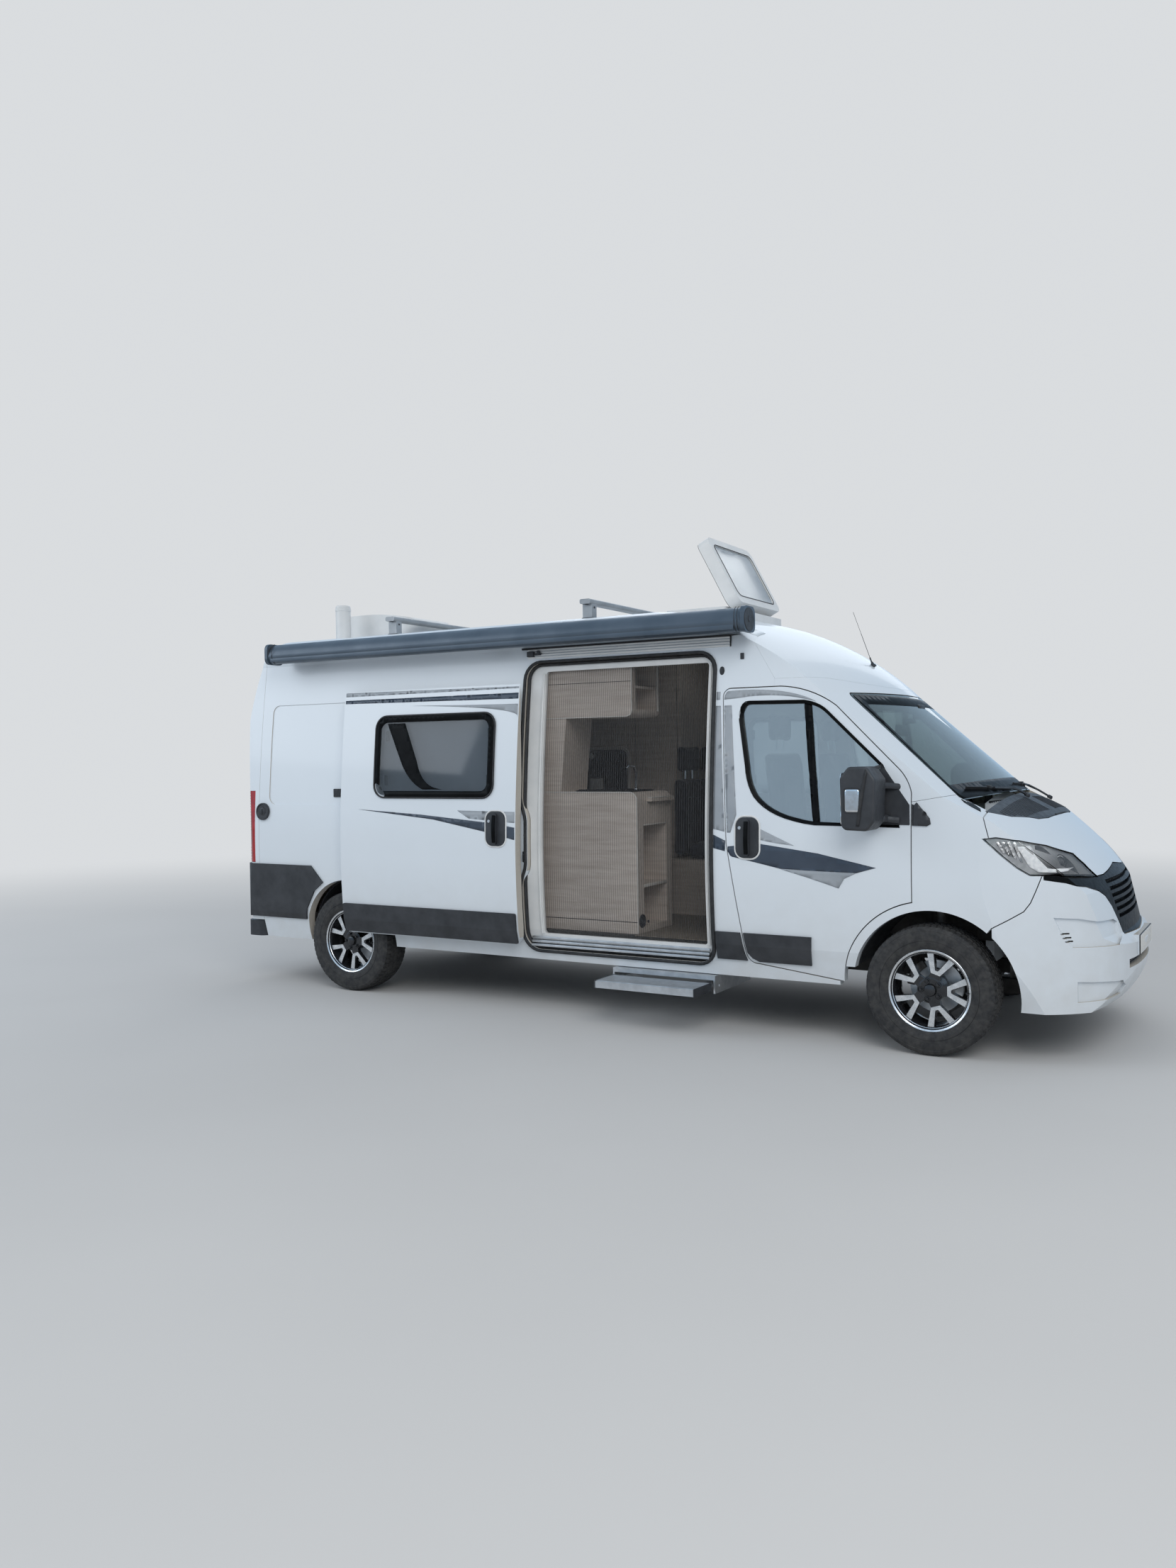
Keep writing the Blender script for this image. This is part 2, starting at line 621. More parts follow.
def studio():
    """A pale floor, a pale surround and three soft lamps."""
    bpy.ops.mesh.primitive_plane_add(size=120, location=(0, 0, 0))
    floor = bpy.context.object
    floor.name = "floor"
    mat, tree, shader, place = new_material("floor_pale")
    tone = ramp(tree, noise(tree, place, 0.4), [(0.3, (0.6, 0.605, 0.61)), (0.7, (0.63, 0.635, 0.64))])
    tree.links.new(tone, shader.inputs["Base Color"])
    dial(shader, Roughness=0.9)
    far = tree.nodes.new("ShaderNodeVectorMath")
    far.operation = "LENGTH"
    tree.links.new(place, far.inputs[0])
    fade = add_node(tree, "ShaderNodeMapRange", [("Value", far.outputs["Value"])])
    fade.interpolation_type = "SMOOTHSTEP"
    dial(fade, From_Min=4.5, From_Max=15.0)
    path = tree.nodes.new("ShaderNodeLightPath")
    backdrop = tree.nodes.new("ShaderNodeEmission")
    dial(backdrop, Color=(*BACKDROP, 1))
    blend = tree.nodes.new("ShaderNodeMixShader")
    tree.links.new(math_node(tree, "MULTIPLY", fade.outputs[0], path.outputs["Is Camera Ray"]),
        blend.inputs[0])
    tree.links.new(shader.outputs[0], blend.inputs[1])
    tree.links.new(backdrop.outputs[0], blend.inputs[2])
    tree.links.new(blend.outputs[0], tree.nodes["Material Output"].inputs["Surface"])
    floor.data.materials.append(mat)
    world = bpy.data.worlds.new("surround")
    bpy.context.scene.world = world
    world.use_nodes = True
    tree = world.node_tree
    back = tree.nodes["Background"]
    dial(back, Color=(0.9, 0.95, 1.0, 1), Strength=0.5)
    plain = tree.nodes.new("ShaderNodeBackground")
    dial(plain, Color=(*BACKDROP, 1))
    path = tree.nodes.new("ShaderNodeLightPath")
    sky = tree.nodes.new("ShaderNodeBackground")
    dial(sky, Color=(0.55, 0.76, 1.0, 1), Strength=0.8)
    shine = tree.nodes.new("ShaderNodeMixShader")
    tree.links.new(path.outputs["Is Glossy Ray"], shine.inputs[0])
    tree.links.new(back.outputs[0], shine.inputs[1])
    tree.links.new(sky.outputs[0], shine.inputs[2])
    choose = tree.nodes.new("ShaderNodeMixShader")
    seen = math_node(tree, "MAXIMUM", path.outputs["Is Camera Ray"], path.outputs["Is Transmission Ray"])
    tree.links.new(seen, choose.inputs[0])
    tree.links.new(shine.outputs[0], choose.inputs[1])
    tree.links.new(plain.outputs[0], choose.inputs[2])
    tree.links.new(choose.outputs[0], tree.nodes["World Output"].inputs["Surface"])
    lamp("key", (7, -9, 8), (0, -1, 1), 7, 560, (1.0, 0.985, 0.96))
    lamp("fill", (-9, -7, 6), (-1, -1, 1), 7, 300, (0.9, 0.95, 1.0))
    lamp("back", (-3, 10, 8), (0, 0, 1), 9, 220)
    bpy.context.scene.view_settings.view_transform = "Standard"


camera()
studio()

# Films on the paint: thin stripes above, the long sweep to the door handle, and the wedge on the front door.

def arc_points(a, mid, b, count=10):
    """Points on a smooth bow from a through mid to b, without b."""
    points = []
    for i in range(count):
        t = i / count
        wa, wm, wb = (1 - t) * (1 - 2 * t), 4 * t * (1 - t), t * (2 * t - 1)
        points.append((wa * a[0] + wm * mid[0] + wb * b[0], wa * a[1] + wm * mid[1] + wb * b[1]))
    return points


def side_films(side, tag, rear):
    """The stripes of one side; rear is the node that carries the ones behind the doorway."""
    top_end, start = -0.506, -1.94
    film(f"stripe_top_{tag}", [(start, 2.046), (top_end, 2.052), (top_end, 2.062), (start, 2.072)], side,
        rear, FILM_GREY)
    film(f"stripe_dark_{tag}", [(start, 1.998), (top_end, 1.985), (top_end, 2.022), (start, 2.02)], side,
        rear, FILM_DARK)
    sweep = arc_points((-1.36, 1.967), (-0.8, 1.955), (top_end, 1.952))
    sweep += [(top_end, 1.952), (top_end, 1.868)] + arc_points((top_end, 1.868), (-0.7, 1.925),
        (-1.36, 1.967))[1:]
    film(f"sweep_grey_{tag}", sweep, side, rear, FILM_GREY)
    low = [(-1.791, 1.276), (-1.25, 1.246), (-0.734, 1.203), (top_end, 1.173), (top_end, 1.095),
        (-0.734, 1.143), (-1.15, 1.216)]
    film(f"sweep_dark_{tag}", low, side, rear, FILM_DARK)
    film(f"wedge_grey_{tag}", [(-0.951, 1.276), (top_end, 1.271), (top_end, 1.202), (-0.66, 1.212),
        (-0.86, 1.226)], side, rear, FILM_GREY)
    door, pillar = [f"front_door_{tag}"], [f"side_panel_{tag}"]
    body = f"front_door_{tag}"
    film(f"door_dark_{tag}", [(0.912, 1.085), (1.02, 1.098), (1.101, 1.106), (1.45, 1.06), (1.778, 0.991),
        (1.67, 0.959), (1.45, 0.962), (1.233, 0.968), (1.02, 1.012), (0.912, 1.032)], side, door, FILM_DARK,
        body)
    film(f"door_wedge_{tag}", [(1.233, 0.966), (1.45, 0.96), (1.666, 0.957), (1.6, 0.925), (1.569, 0.872),
        (1.4, 0.922)], side, door, FILM_GREY, body)
    film(f"door_tip_{tag}", [(1.095, 1.196), (1.314, 1.099), (1.2, 1.112), (1.095, 1.13)], side, door,
        FILM_GREY, body)
    film(f"door_rear_{tag}", [(0.908, 1.165), (0.929, 1.165), (0.965, 1.268), (0.921, 1.895),
        (0.876, 1.895)], side, door, FILM_GREY, body)
    band = [(0.878, 1.976), (0.92, 1.979)] + arc_points((0.92, 1.979), (1.22, 1.966), (1.431, 1.9))
    band += [(1.431, 1.9)] + arc_points((1.431, 1.9), (1.18, 1.944), (0.92, 1.93))[1:] + [(0.874, 1.93)]
    film(f"door_arc_{tag}", band, side, door, FILM_GREY, body)
    if side == RIGHT:
        film(f"pillar_dark_{tag}", [(0.822, 1.074), (0.894, 1.058), (0.897, 1.118), (0.822, 1.151)], side,
            pillar, FILM_DARK)
        film(f"pillar_grey_{tag}", [(0.822, 1.185), (0.892, 1.17), (0.852, 1.895), (0.822, 1.895)], side,
            pillar, FILM_GREY)
        film(f"pillar_top_{tag}", [(0.825, 1.93), (0.846, 1.93), (0.848, 1.976), (0.825, 1.976)], side,
            pillar, FILM_GREY)


side_films(RIGHT, "right", ["sliding_door"])
side_films(LEFT, "left", ["side_panel_left"])


# The doorway: seal, rails, track cover and the pleated insect screen.

def wavy(points):
    """The doorway's outline with the step inwards that the door's latch needs at its rear edge."""
    moved = []
    for x, z in points:
        if x < OPENING[0] + 0.02 and 0.79 < z < 1.37:
            rise = min(1, (z - 0.79) / 0.155, (1.37 - z) / 0.17)
            x += 0.04 * rise * rise * (3 - 2 * rise)
        moved.append((x, z))
    return moved


door_edge = rounded(OPENING[0] - 0.008, OPENING[1] + 0.004, OPENING[2] - 0.01, OPENING[3] + 0.006, OPENING_R)
seal = Piece()
seal.sweep(laid(RIGHT, wavy(fine(door_edge, 0.03)), ["side_panel_right"], 0.004),
    [(0.008, -0.004), (0.009, 0.005), (0.003, 0.01), (-0.004, 0.01), (-0.01, 0.004), (-0.009, -0.004)],
    closed=True, up=(0, RIGHT, 0))
seal.done("door_seal", RUBBER, smooth=60)

inner_edge = fine(rounded(OPENING[0] + 0.012, OPENING[1] - 0.012, OPENING[2] + 0.012, OPENING[3] - 0.012,
    OPENING_R - 0.02), 0.03)
lip = Piece()
frame_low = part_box("screen_frame")[0]
lip_points = []
for x, z in inner_edge:
    spot = lay(RIGHT, x, z, ["screen_frame"], 0.006)
    if spot is None:
        spot = Vector((x, lip_points[-1].y if lip_points else frame_low.y, z))
    lip_points.append(spot)
lip.sweep(lip_points, [(0.01, 0), (0.009, 0.012), (0, 0.018), (-0.009, 0.012), (-0.01, 0)], closed=True,
    up=(0, RIGHT, 0))
lip.done("door_lip", RUBBER, smooth=60)

TRACK_X = (-0.502, 0.896)
track = Piece()
TRACK_RIBS = ((2.292, 0.01, 0.016), (2.276, 0.012, 0.01), (2.26, 0.01, 0.014), (2.244, 0.012, 0.009))
for z, tall, proud in TRACK_RIBS:
    ends = [lay(RIGHT, x, z, ["side_panel_right", "roof_panel"], 0) for x in TRACK_X]
    y = min(p.y for p in ends if p is not None)
    track.box((TRACK_X[0], y - proud, z - tall / 2), (TRACK_X[1], y + 0.01, z + tall / 2), 0.002)
track.done("track_rail", M["white_plastic"])
trim = Piece()
y = lay(RIGHT, 0, 2.305, ["side_panel_right", "roof_panel"]).y
trim.prism([(TRACK_X[0] - 0.045, y + 0.006, 2.297), (TRACK_X[1] - 0.06, y + 0.006, 2.297),
    (TRACK_X[1] + 0.06, y + 0.006, 2.303), (TRACK_X[1] - 0.02, y + 0.006, 2.309),
    (TRACK_X[0] - 0.045, y + 0.006, 2.309)], (0, -0.026, 0))
trim.box((TRACK_X[1], y - 0.014, 2.238), (TRACK_X[1] + 0.006, y + 0.006, 2.303), 0.002)
trim.done("track_seal", RUBBER)
roller = Piece()
y = lay(RIGHT, -0.46, 2.262, ["side_panel_right"]).y
roller.box((-0.5, y - 0.03, 2.25), (-0.452, y - 0.004, 2.284), 0.004)
roller.box((-0.456, y - 0.022, 2.258), (-0.4, y - 0.006, 2.272), 0.003)
roller.lathe([(0.004, -0.012), (0.011, -0.012), (0.012, 0), (0.011, 0.012), (0.004, 0.012)],
    (-0.42, y - 0.016, 2.276), (0, 0, 1), 20)
roller.done("track_roller", BLACK)

PLEAT = 0.0151
mesh_low, mesh_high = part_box("screen_mesh")
screen_box = (-0.378, 0.751, 0.502, 2.152)


def pleated_screen():
    """The insect screen: one cloth in sharp upright pleats, following the wall's curve."""
    x_low, x_high, z_low, z_high = screen_box
    count = int((x_high - x_low) / PLEAT) * 2
    rows = 24
    piece = Piece()
    grid = []
    for i in range(count + 1):
        x = x_low + (x_high - x_low) * i / count
        column = []
        for j in range(rows + 1):
            z = z_low + (z_high - z_low) * j / rows
            middle = lay(RIGHT, 0.2, min(max(z, mesh_low.z + 0.01), mesh_high.z - 0.01), ["screen_mesh"])
            column.append(piece.bm.verts.new((x, middle.y + 0.002 + (0.003 if i % 2 else -0.003), z)))
        grid.append(column)
    for a, b in zip(grid, grid[1:]):
        for j in range(rows):
            piece.bm.faces.new((a[j], a[j + 1], b[j + 1], b[j]))
    obj = piece.done("insect_screen", screen_material(), slot="mesh", smooth=5)
    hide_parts("screen_mesh")
    return obj


def screen_material():
    """Dark open net: threads that hide part of what is behind, darker at the folds."""
    mat, tree, shader, place = new_material("insect_net")
    tone = ramp(tree, noise(tree, place, 60.0, 4.0), [(0.3, (0.045, 0.047, 0.052)),
        (0.7, (0.085, 0.088, 0.095))])
    tree.links.new(tone, shader.inputs["Base Color"])
    dial(shader, Roughness=0.9)
    clear = tree.nodes.new("ShaderNodeBsdfTransparent")
    blend = tree.nodes.new("ShaderNodeMixShader")
    wave = add_node(tree, "ShaderNodeTexWave", [("Vector", place)], Scale=1 / PLEAT / 3.1831)
    tree.links.new(remap(tree, wave.outputs["Fac"], target=(0.1, 0.5)), blend.inputs[0])
    tree.links.new(clear.outputs[0], blend.inputs[1])
    tree.links.new(shader.outputs[0], blend.inputs[2])
    tree.links.new(blend.outputs[0], tree.nodes["Material Output"].inputs["Surface"])
    return mat


pleated_screen()
sill = Piece()
y_sill = lay(RIGHT, 0.15, 0.47, ["screen_frame"]).y
for i, z in enumerate((0.425, 0.448, 0.471)):
    sill.box((-0.47, y_sill - 0.016 - 0.006 * (2 - i), z - 0.008), (0.768, y_sill + 0.004, z + 0.008), 0.003)
for i in range(9):
    x = -0.41 + i * 0.142
    sill.lathe([(0.0005, 0), (0.005, 0), (0.004, -0.003), (0.0005, -0.004)], (x, y_sill - 0.022, 0.448),
        (0, 1, 0), 12)
sill.done("door_sill_strip", M["aluminium"])
posts = Piece()
for x_low, x_high in ((-0.402, -0.384), (0.757, 0.775)):
    line = [lay(RIGHT, (x_low + x_high) / 2, 0.5 + 1.64 * j / 16, ["screen_frame"], 0.001)
        for j in range(17)]
    half = (x_high - x_low) / 2
    posts.sweep(line, [(-half, 0), (half, 0), (half * 0.8, 0.01), (half * 0.2, 0.012), (0, 0.007),
        (-half * 0.2, 0.012), (-half * 0.8, 0.01)], up=(0, RIGHT, 0))
posts.done("screen_posts", M["white_plastic"])
cap = Piece()
spot = lay(RIGHT, 0.852, 2.098, ["side_panel_right"])
cap.sweep([spot + Vector((0.012 * cos(a), 0, 0.022 * sin(a))) for a in turns(24)], round_section(0.004, 8),
    closed=True, up=(0, RIGHT, 0))
cap.box(spot + Vector((-0.009, -0.006, -0.018)), spot + Vector((0.009, 0.004, 0.018)), 0.004)
cap.done("pillar_cap", BLACK)


# Windows: black frames, beads, catches and the stripe on the pane.

def window_trim(tag, side, box):
    """A hinged window's frame ring, bead and catches, round its pane."""
    x_low, x_high, z_low, z_high = box
    names = ["sliding_door_window"] if side == RIGHT else ["side_windows"]
    walls = ["sliding_door"] if side == RIGHT else ["side_panel_left"]
    margin, width = 0.014, 0.03
    outer = rounded(x_low - margin, x_high + margin, z_low - margin, z_high + margin, 0.085)
    hole = rounded(x_low + width, x_high - width, z_low + width, z_high - width, 0.055)
    film(f"window_frame_{tag}", outer, side, names + walls, GLOSS, lift=0.001, thick=0.005, step=0.04,
        holes=[hole])
    bead = Piece()
    bead.tube(laid(side, fine(outer, 0.04), names + walls, 0.006), 0.006, 8, closed=True, up=(0, side, 0))
    bead.done(f"window_bead_{tag}", RUBBER, smooth=60)
    hardware = Piece()
    for x in (x_low + 0.055, x_high - 0.055):
        for z in (z_low + 0.1, z_high - 0.12):
            spot = lay(side, x, z, names)
            if spot is None:
                continue
            inward = -side * 0.045
            hardware.box((x - 0.008, spot.y + inward, z - 0.035),
                (x + 0.008, spot.y + inward - side * 0.018, z + 0.035), 0.003)
    hardware.done(f"window_catches_{tag}", BLACK)


slider_window = (-0.317 + SLID.x, 0.633 + SLID.x, 1.371, 1.889)
window_trim("slider", RIGHT, slider_window)
LEFT_WINDOWS = {"bed": (-2.6, -1.9, 1.38, 1.88), "washroom": (-0.38, -0.06, 1.5, 1.85),
                "bench": (0.2, 0.76, 1.33, 1.88)}
for tag, box in LEFT_WINDOWS.items():
    window_trim(tag, LEFT, box)
pane_x = slider_window[0]
strap = [(pane_x + 0.085, 1.852), (pane_x + 0.235, 1.852), (pane_x + 0.345, 1.6)]
strap += arc_points((pane_x + 0.345, 1.6), (pane_x + 0.425, 1.46), (pane_x + 0.565, 1.415), 8)
strap += [(pane_x + 0.565, 1.411), (pane_x + 0.4, 1.411)]
strap += arc_points((pane_x + 0.4, 1.411), (pane_x + 0.285, 1.49), (pane_x + 0.2, 1.62), 8)
film("pane_stripe", strap, RIGHT, ["sliding_door_window"], GLOSS, lift=0.0006, thick=0.0005)


# Wheels: tread and sidewall, machined rim faces, bolts, plain caps, discs and callipers.

def tyre_mesh():
    """A tyre with grooved tread blocks and ribbed shoulders, its axis along Y, its outer side at -Y."""
    half, crown, shoulder, bead = 0.1125, 0.3472, 0.3385, 0.2195
    section = [(-0.0975, bead), (-0.1045, 0.232), (-0.1115, 0.252), (-0.1122, 0.262), (-0.11, 0.264),
        (-0.1122, 0.266), (-0.1125, 0.285), (-0.111, 0.305), (-0.1085, 0.316), (-0.1095, 0.318),
        (-0.1075, 0.327), (-0.1, shoulder), (-0.088, 0.344)]
    across = [-0.088, -0.064, -0.0615, -0.054, -0.0515, -0.024, -0.0215, -0.014, -0.0115]
    profile = section[:-1]
    for y in across + [-y for y in across[::-1]]:
        profile.append((y, crown - 0.0035 * (y / 0.088) ** 2 - 0.0009 * (abs(y) > 0.08)))
    profile += [(-y, r) for y, r in section[:-1][::-1]]
    grooves = {0.0615, 0.054, 0.0215, 0.014}
    pitches, per_pitch = 64, 5
    steps = pitches * per_pitch
    piece = Piece()
    rings = []
    for i in range(steps):
        phase = i % per_pitch
        ring = []
        for y, r in profile:
            depth = 0.0
            if abs(y) <= 0.0881 and r > 0.33:
                slant = int(round((y + half) / 0.0375)) % 2
                if round(abs(y), 4) in grooves:
                    depth = 0.0075
                elif (phase + slant) % per_pitch == 0 and abs(y) > 0.045:
                    depth = 0.0065
                elif (phase + 2 * slant) % per_pitch == 1 and abs(y) <= 0.045:
                    depth = 0.004
            elif 0.318 < r < 0.339 and phase == 0:
                depth = 0.004
            angle = 2 * pi * i / steps
            ring.append(piece.bm.verts.new(((r - depth) * cos(angle), y, (r - depth) * sin(angle))))
        rings.append(ring)
    for i in range(steps):
        a, b = rings[i], rings[(i + 1) % steps]
        for j in range(len(profile) - 1):
            piece.bm.faces.new((a[j], a[j + 1], b[j + 1], b[j]))
        piece.bm.faces.new((a[-1], a[0], b[0], b[-1]))
    bmesh.ops.recalc_face_normals(piece.bm, faces=piece.bm.faces)
    return piece.mesh("tyre_form", M["tyre_rubber"], 28, merge=False)


LOOPS = 5
FACE_Y = -0.0735


def place_mesh(name, mesh, x, y, side, body):
    """One wheel's copy of a shared mesh; the left wheels are turned half round."""
    obj = link(name, mesh)
    turn = Matrix.Rotation(0 if side == RIGHT else pi, 4, "Z")
    obj.matrix_world = Matrix.Translation((x, y, WHEEL_Z)) @ turn
    return settle(obj, body)


def rim_faces():
    """Bright faces on the five looped spokes and the rim's edge."""
    piece = Piece()
    deep = (0, -0.0025, 0)
    for k in range(LOOPS):
        turn = Matrix.Rotation(-2 * pi * k / LOOPS, 3, "Y")
        loop = [(0.191, 0.054), (0.18, 0.074), (0.089, 0.0245), (0.089, -0.0245), (0.18, -0.074),
            (0.191, -0.054), (0.191, -0.043), (0.118, -0.0125), (0.109, -0.0075), (0.109, 0.0075),
            (0.118, 0.0125), (0.191, 0.043)]
        corners = [turn @ Vector((r, FACE_Y, t)) for r, t in loop]
        bottom = [piece.bm.verts.new(c) for c in corners]
        top = [piece.bm.verts.new(c + Vector(deep)) for c in corners]
        strips = [(0, 1, 10, 11), (1, 2, 9, 10), (2, 3, 8, 9), (3, 4, 7, 8), (4, 5, 6, 7)]
        for ids in strips:
            piece.bm.faces.new([top[i] for i in ids])
            piece.bm.faces.new([bottom[i] for i in ids[::-1]])
        for i in range(12):
            j = (i + 1) % 12
            piece.bm.faces.new((bottom[i], bottom[j], top[j], top[i]))
    piece.lathe([(0.1995, -0.0845), (0.2185, -0.0985), (0.2165, -0.1), (0.2065, -0.096), (0.1985, -0.0868)],
        (0, 0, 0), (0, 1, 0), 120)
    return piece.mesh("rim_bright", MACHINED, 35)


def rim_hub():
    """The dark hub: five bolts in their pockets and a plain domed cap."""
    piece = Piece()
    piece.lathe([(0.0001, -0.0925), (0.022, -0.0915), (0.029, -0.0885), (0.031, -0.08), (0.0001, -0.08)],
        (0, 0, 0), (0, 1, 0), 40)
    for k in range(LOOPS):
        angle = 2 * pi * (k + 0.5) / LOOPS
        centre = (0.0505 * cos(angle), 0, 0.0505 * sin(angle))
        piece.lathe([(0.0001, -0.086), (0.0075, -0.0855), (0.009, -0.083), (0.009, -0.07), (0.0001, -0.07)],
            centre, (0, 1, 0), 6)
        piece.lathe([(0.0125, -0.0705), (0.015, -0.076), (0.0175, -0.0705)], centre, (0, 1, 0), 20)
    return piece.mesh("rim_hub", M["alloy"], 35)


def valve():
    """A short rubber valve with its cap."""
    piece = Piece()
    piece.lathe([(0.0001, 0), (0.0045, 0), (0.0045, 0.018), (0.0036, 0.022), (0.0036, 0.036),
        (0.0001, 0.036)], (0.188, -0.076, 0), (0.35, -1, 0), 12)
    return piece.mesh("valve_form", RUBBER, 35)


tyre_form, bright_form, hub_form, valve_form = tyre_mesh(), rim_faces(), rim_hub(), valve()
for end, axle_x in (("front", FRONT_AXLE_X), ("rear", REAR_AXLE_X)):
    for side, tag in SIDES:
        wheel = f"wheel_{end}_{tag}"
        y = side * TRACK[end]
        rubber = place_mesh(f"tread_{end}_{tag}", tyre_form, axle_x, y, side, wheel)
        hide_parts(f"tyre_{end}_{tag}")
        place_mesh(f"rim_face_{end}_{tag}", bright_form, axle_x, y, side, wheel)
        place_mesh(f"hub_{end}_{tag}", hub_form, axle_x, y, side, wheel)
        place_mesh(f"valve_{end}_{tag}", valve_form, axle_x, y, side, wheel)
        carrier = f"knuckle_{tag}" if end == "front" else "root"
        brake = Piece()
        brake.lathe([(0.06, -0.012), (0.142, -0.012), (0.142, -0.004), (0.132, -0.004), (0.132, 0.004),
            (0.142, 0.004), (0.142, 0.012), (0.06, 0.012)], (axle_x, y - side * 0.068, WHEEL_Z), (0, 1, 0),
            72)
        brake.done(f"disc_{end}_{tag}", M["aluminium"], carrier)
        grip = Piece()
        behind = -1 if end == "front" else 1
        for i in range(5):
            angle = radians(90 - behind * (58 + 12 * (i - 2)))
            r = 0.133
            spot = Vector((axle_x + r * cos(angle), y - side * 0.064, WHEEL_Z + r * sin(angle)))
            turn = Matrix.Rotation(-angle, 3, "Y")
            grip.box(spot - Vector((0.021, 0.03, 0.017)), spot + Vector((0.021, 0.03, 0.017)), 0.005, turn)
        grip.done(f"calliper_{end}_{tag}", M["cast_metal"], carrier)


# Nose: lamp insides, the net behind the grille, the blank plate, scuttle, screen border and wipers.

for side, tag in SIDES:
    film(f"lamp_guide_{tag}", [(2.494, 1.122), (2.552, 1.016), (2.592, 0.99), (2.706, 0.984),
        (2.716, 0.994), (2.632, 1.01), (2.59, 1.06), (2.546, 1.118)], side, ["lamp_bowls"], GUIDE,
        lift=0.0005, thick=0.004, step=0.02)
    for i in range(4):
        x = 2.398 + 0.026 * i
        film(f"lamp_facet_{i}_{tag}", [(x, 1.146), (x + 0.034, 1.085 - 0.014 * i),
            (x + 0.046, 1.082 - 0.014 * i), (x + 0.015, 1.146)], side, ["lamp_bowls"], CHROME,
            slot="lamp_clear", lift=0.0005, thick=0.005, step=0.02)
    aim = Vector((0.86, side * 0.5, 0.05)).normalized()
    for (x, y, z), r in (((2.64, 0.69, 1.018), 0.032), ((2.52, 0.8, 1.066), 0.019)):
        centre = Vector((x, side * y, z))
        ring = Piece()
        ring.lathe([(r + 0.001, 0.002), (r + 0.0035, 0.002), (r + 0.006, 0.02), (r + 0.004, 0.021),
            (r + 0.001, 0.006)], centre, aim, 48)
        ring.done(f"lamp_ring_{round(r * 1000)}_{tag}", CHROME, slot="lamp_clear")
        lens = Piece()
        dome = [((r + 0.002) * cos(a), (r + 0.002) * sin(a)) for a in [radians(20 + 7 * i)
            for i in range(11)]]
        lens.lathe(dome[::-1] + [(0.0001, dome[-1][1])], centre, aim, 40)
        lens.done(f"lamp_lens_{round(r * 1000)}_{tag}", M["lamp_clear"], smooth=60)

NET_ROWS = [0.905, 0.868, 0.831, 0.794, 0.757, 0.72]
webs = [z - 0.0185 for z in NET_ROWS]
net = Piece()
for row, z in enumerate(NET_ROWS):
    half = 0.43 - 0.0085 * row
    count = 44
    for j in range(count + 1):
        y = -half + 2 * half * j / count
        spot = lay("front", y, webs[row], ["grille"])
        if spot is None or spot.x < 2.7:
            continue
        x = spot.x - 0.028
        lean = 0.006 if j % 2 else -0.006
        net.tube([(x, y - lean, z - 0.012), (x, y + lean, z + 0.012)], 0.0017, 6, up=(1, 0, 0))
net.done("grille_net", BLACK, slot="gloss_black")
louvre = Piece()
for z in (0.462, 0.474, 0.486):
    line = []
    for j in range(25):
        y = -0.42 + 0.84 * j / 24
        spot = lay("front", y, 0.44, ["front_bumper"])
        line.append((spot.x - 0.04, y, z))
    louvre.sweep(line, [(-0.012, -0.002), (0.012, -0.004), (0.012, 0.001), (-0.012, 0.003)])
louvre.done("intake_louvres", BLACK)


def blank_plate(tag, x, y, z, facing, body):
    """A plain plate with a raised edge in a dark holder."""
    holder, plate = Piece(), Piece()
    holder.box((x - 0.003, y - 0.264, z - 0.053), (x + 0.003, y + 0.264, z + 0.053), 0.002)
    holder.done(f"plate_holder_{tag}", BLACK, body)
    front = x + facing * 0.004
    plate.box((front - 0.0012, y - 0.26, z - 0.05), (front + 0.0008, y + 0.26, z + 0.05), 0.001)
    edge = [(front + facing * 0.0006, y + a, z + b) for a, b in rounded(-0.257, 0.257, -0.047, 0.047, 0.01)]
    plate.tube(edge, 0.0012, 6, closed=True, up=(1, 0, 0))
    plate.done(f"plate_{tag}", BLANK_PLATE, body)


blank_plate("front", 2.9925, 0, 0.553, 1, "root")

ribs = Piece()
for side, _ in SIDES:
    for i in range(21):
        y = side * (0.1 + 0.034 * i)
        line = []
        for j in range(7):
            x = 2.372 + 0.016 * j + 0.0018 * (20 - i) * (j / 6)
            spot = lay("top", x, y, ["cowl"], 0.0005)
            if spot is not None and spot.z > 1.15:
                line.append(spot)
        if len(line) > 2:
            ribs.tube(line, 0.0024, 6, up=(0, 1, 0))
ribs.done("scuttle_ribs", BLACK)
edge = Piece()
line = [(x - 0.004, y) for x, y in [(2.429, -0.768), (2.48, -0.64), (2.519, -0.511), (2.542, -0.363),
    (2.549, -0.155), (2.551, 0), (2.549, 0.155), (2.542, 0.363), (2.519, 0.511), (2.48, 0.64),
    (2.429, 0.768)]]
edge.tube(laid("top", line, ["cowl"], 0.002), 0.004, 8)
edge.done("scuttle_seal", RUBBER, smooth=60)


def screen_outline(shrink_side, shrink_low, shrink_high):
    """The windscreen's outline in front view, drawn in by a margin at its sides, foot and head."""
    foot, head = 0.876 - shrink_side, 0.764 - shrink_side
    points = [(-foot + 2 * foot * i / 16, 1.356 + shrink_low + 0.022 * (1 - (i / 8 - 1) ** 2))
        for i in range(17)]
    corner = 0.032
    for sign in (1, -1):
        order = range(5) if sign > 0 else range(4, -1, -1)
        for i in order:
            angle = radians(90 * i / 4)
            points.append((sign * (head - corner * (1 - cos(angle))),
                1.946 - shrink_high - corner * (1 - sin(angle))))
    return points


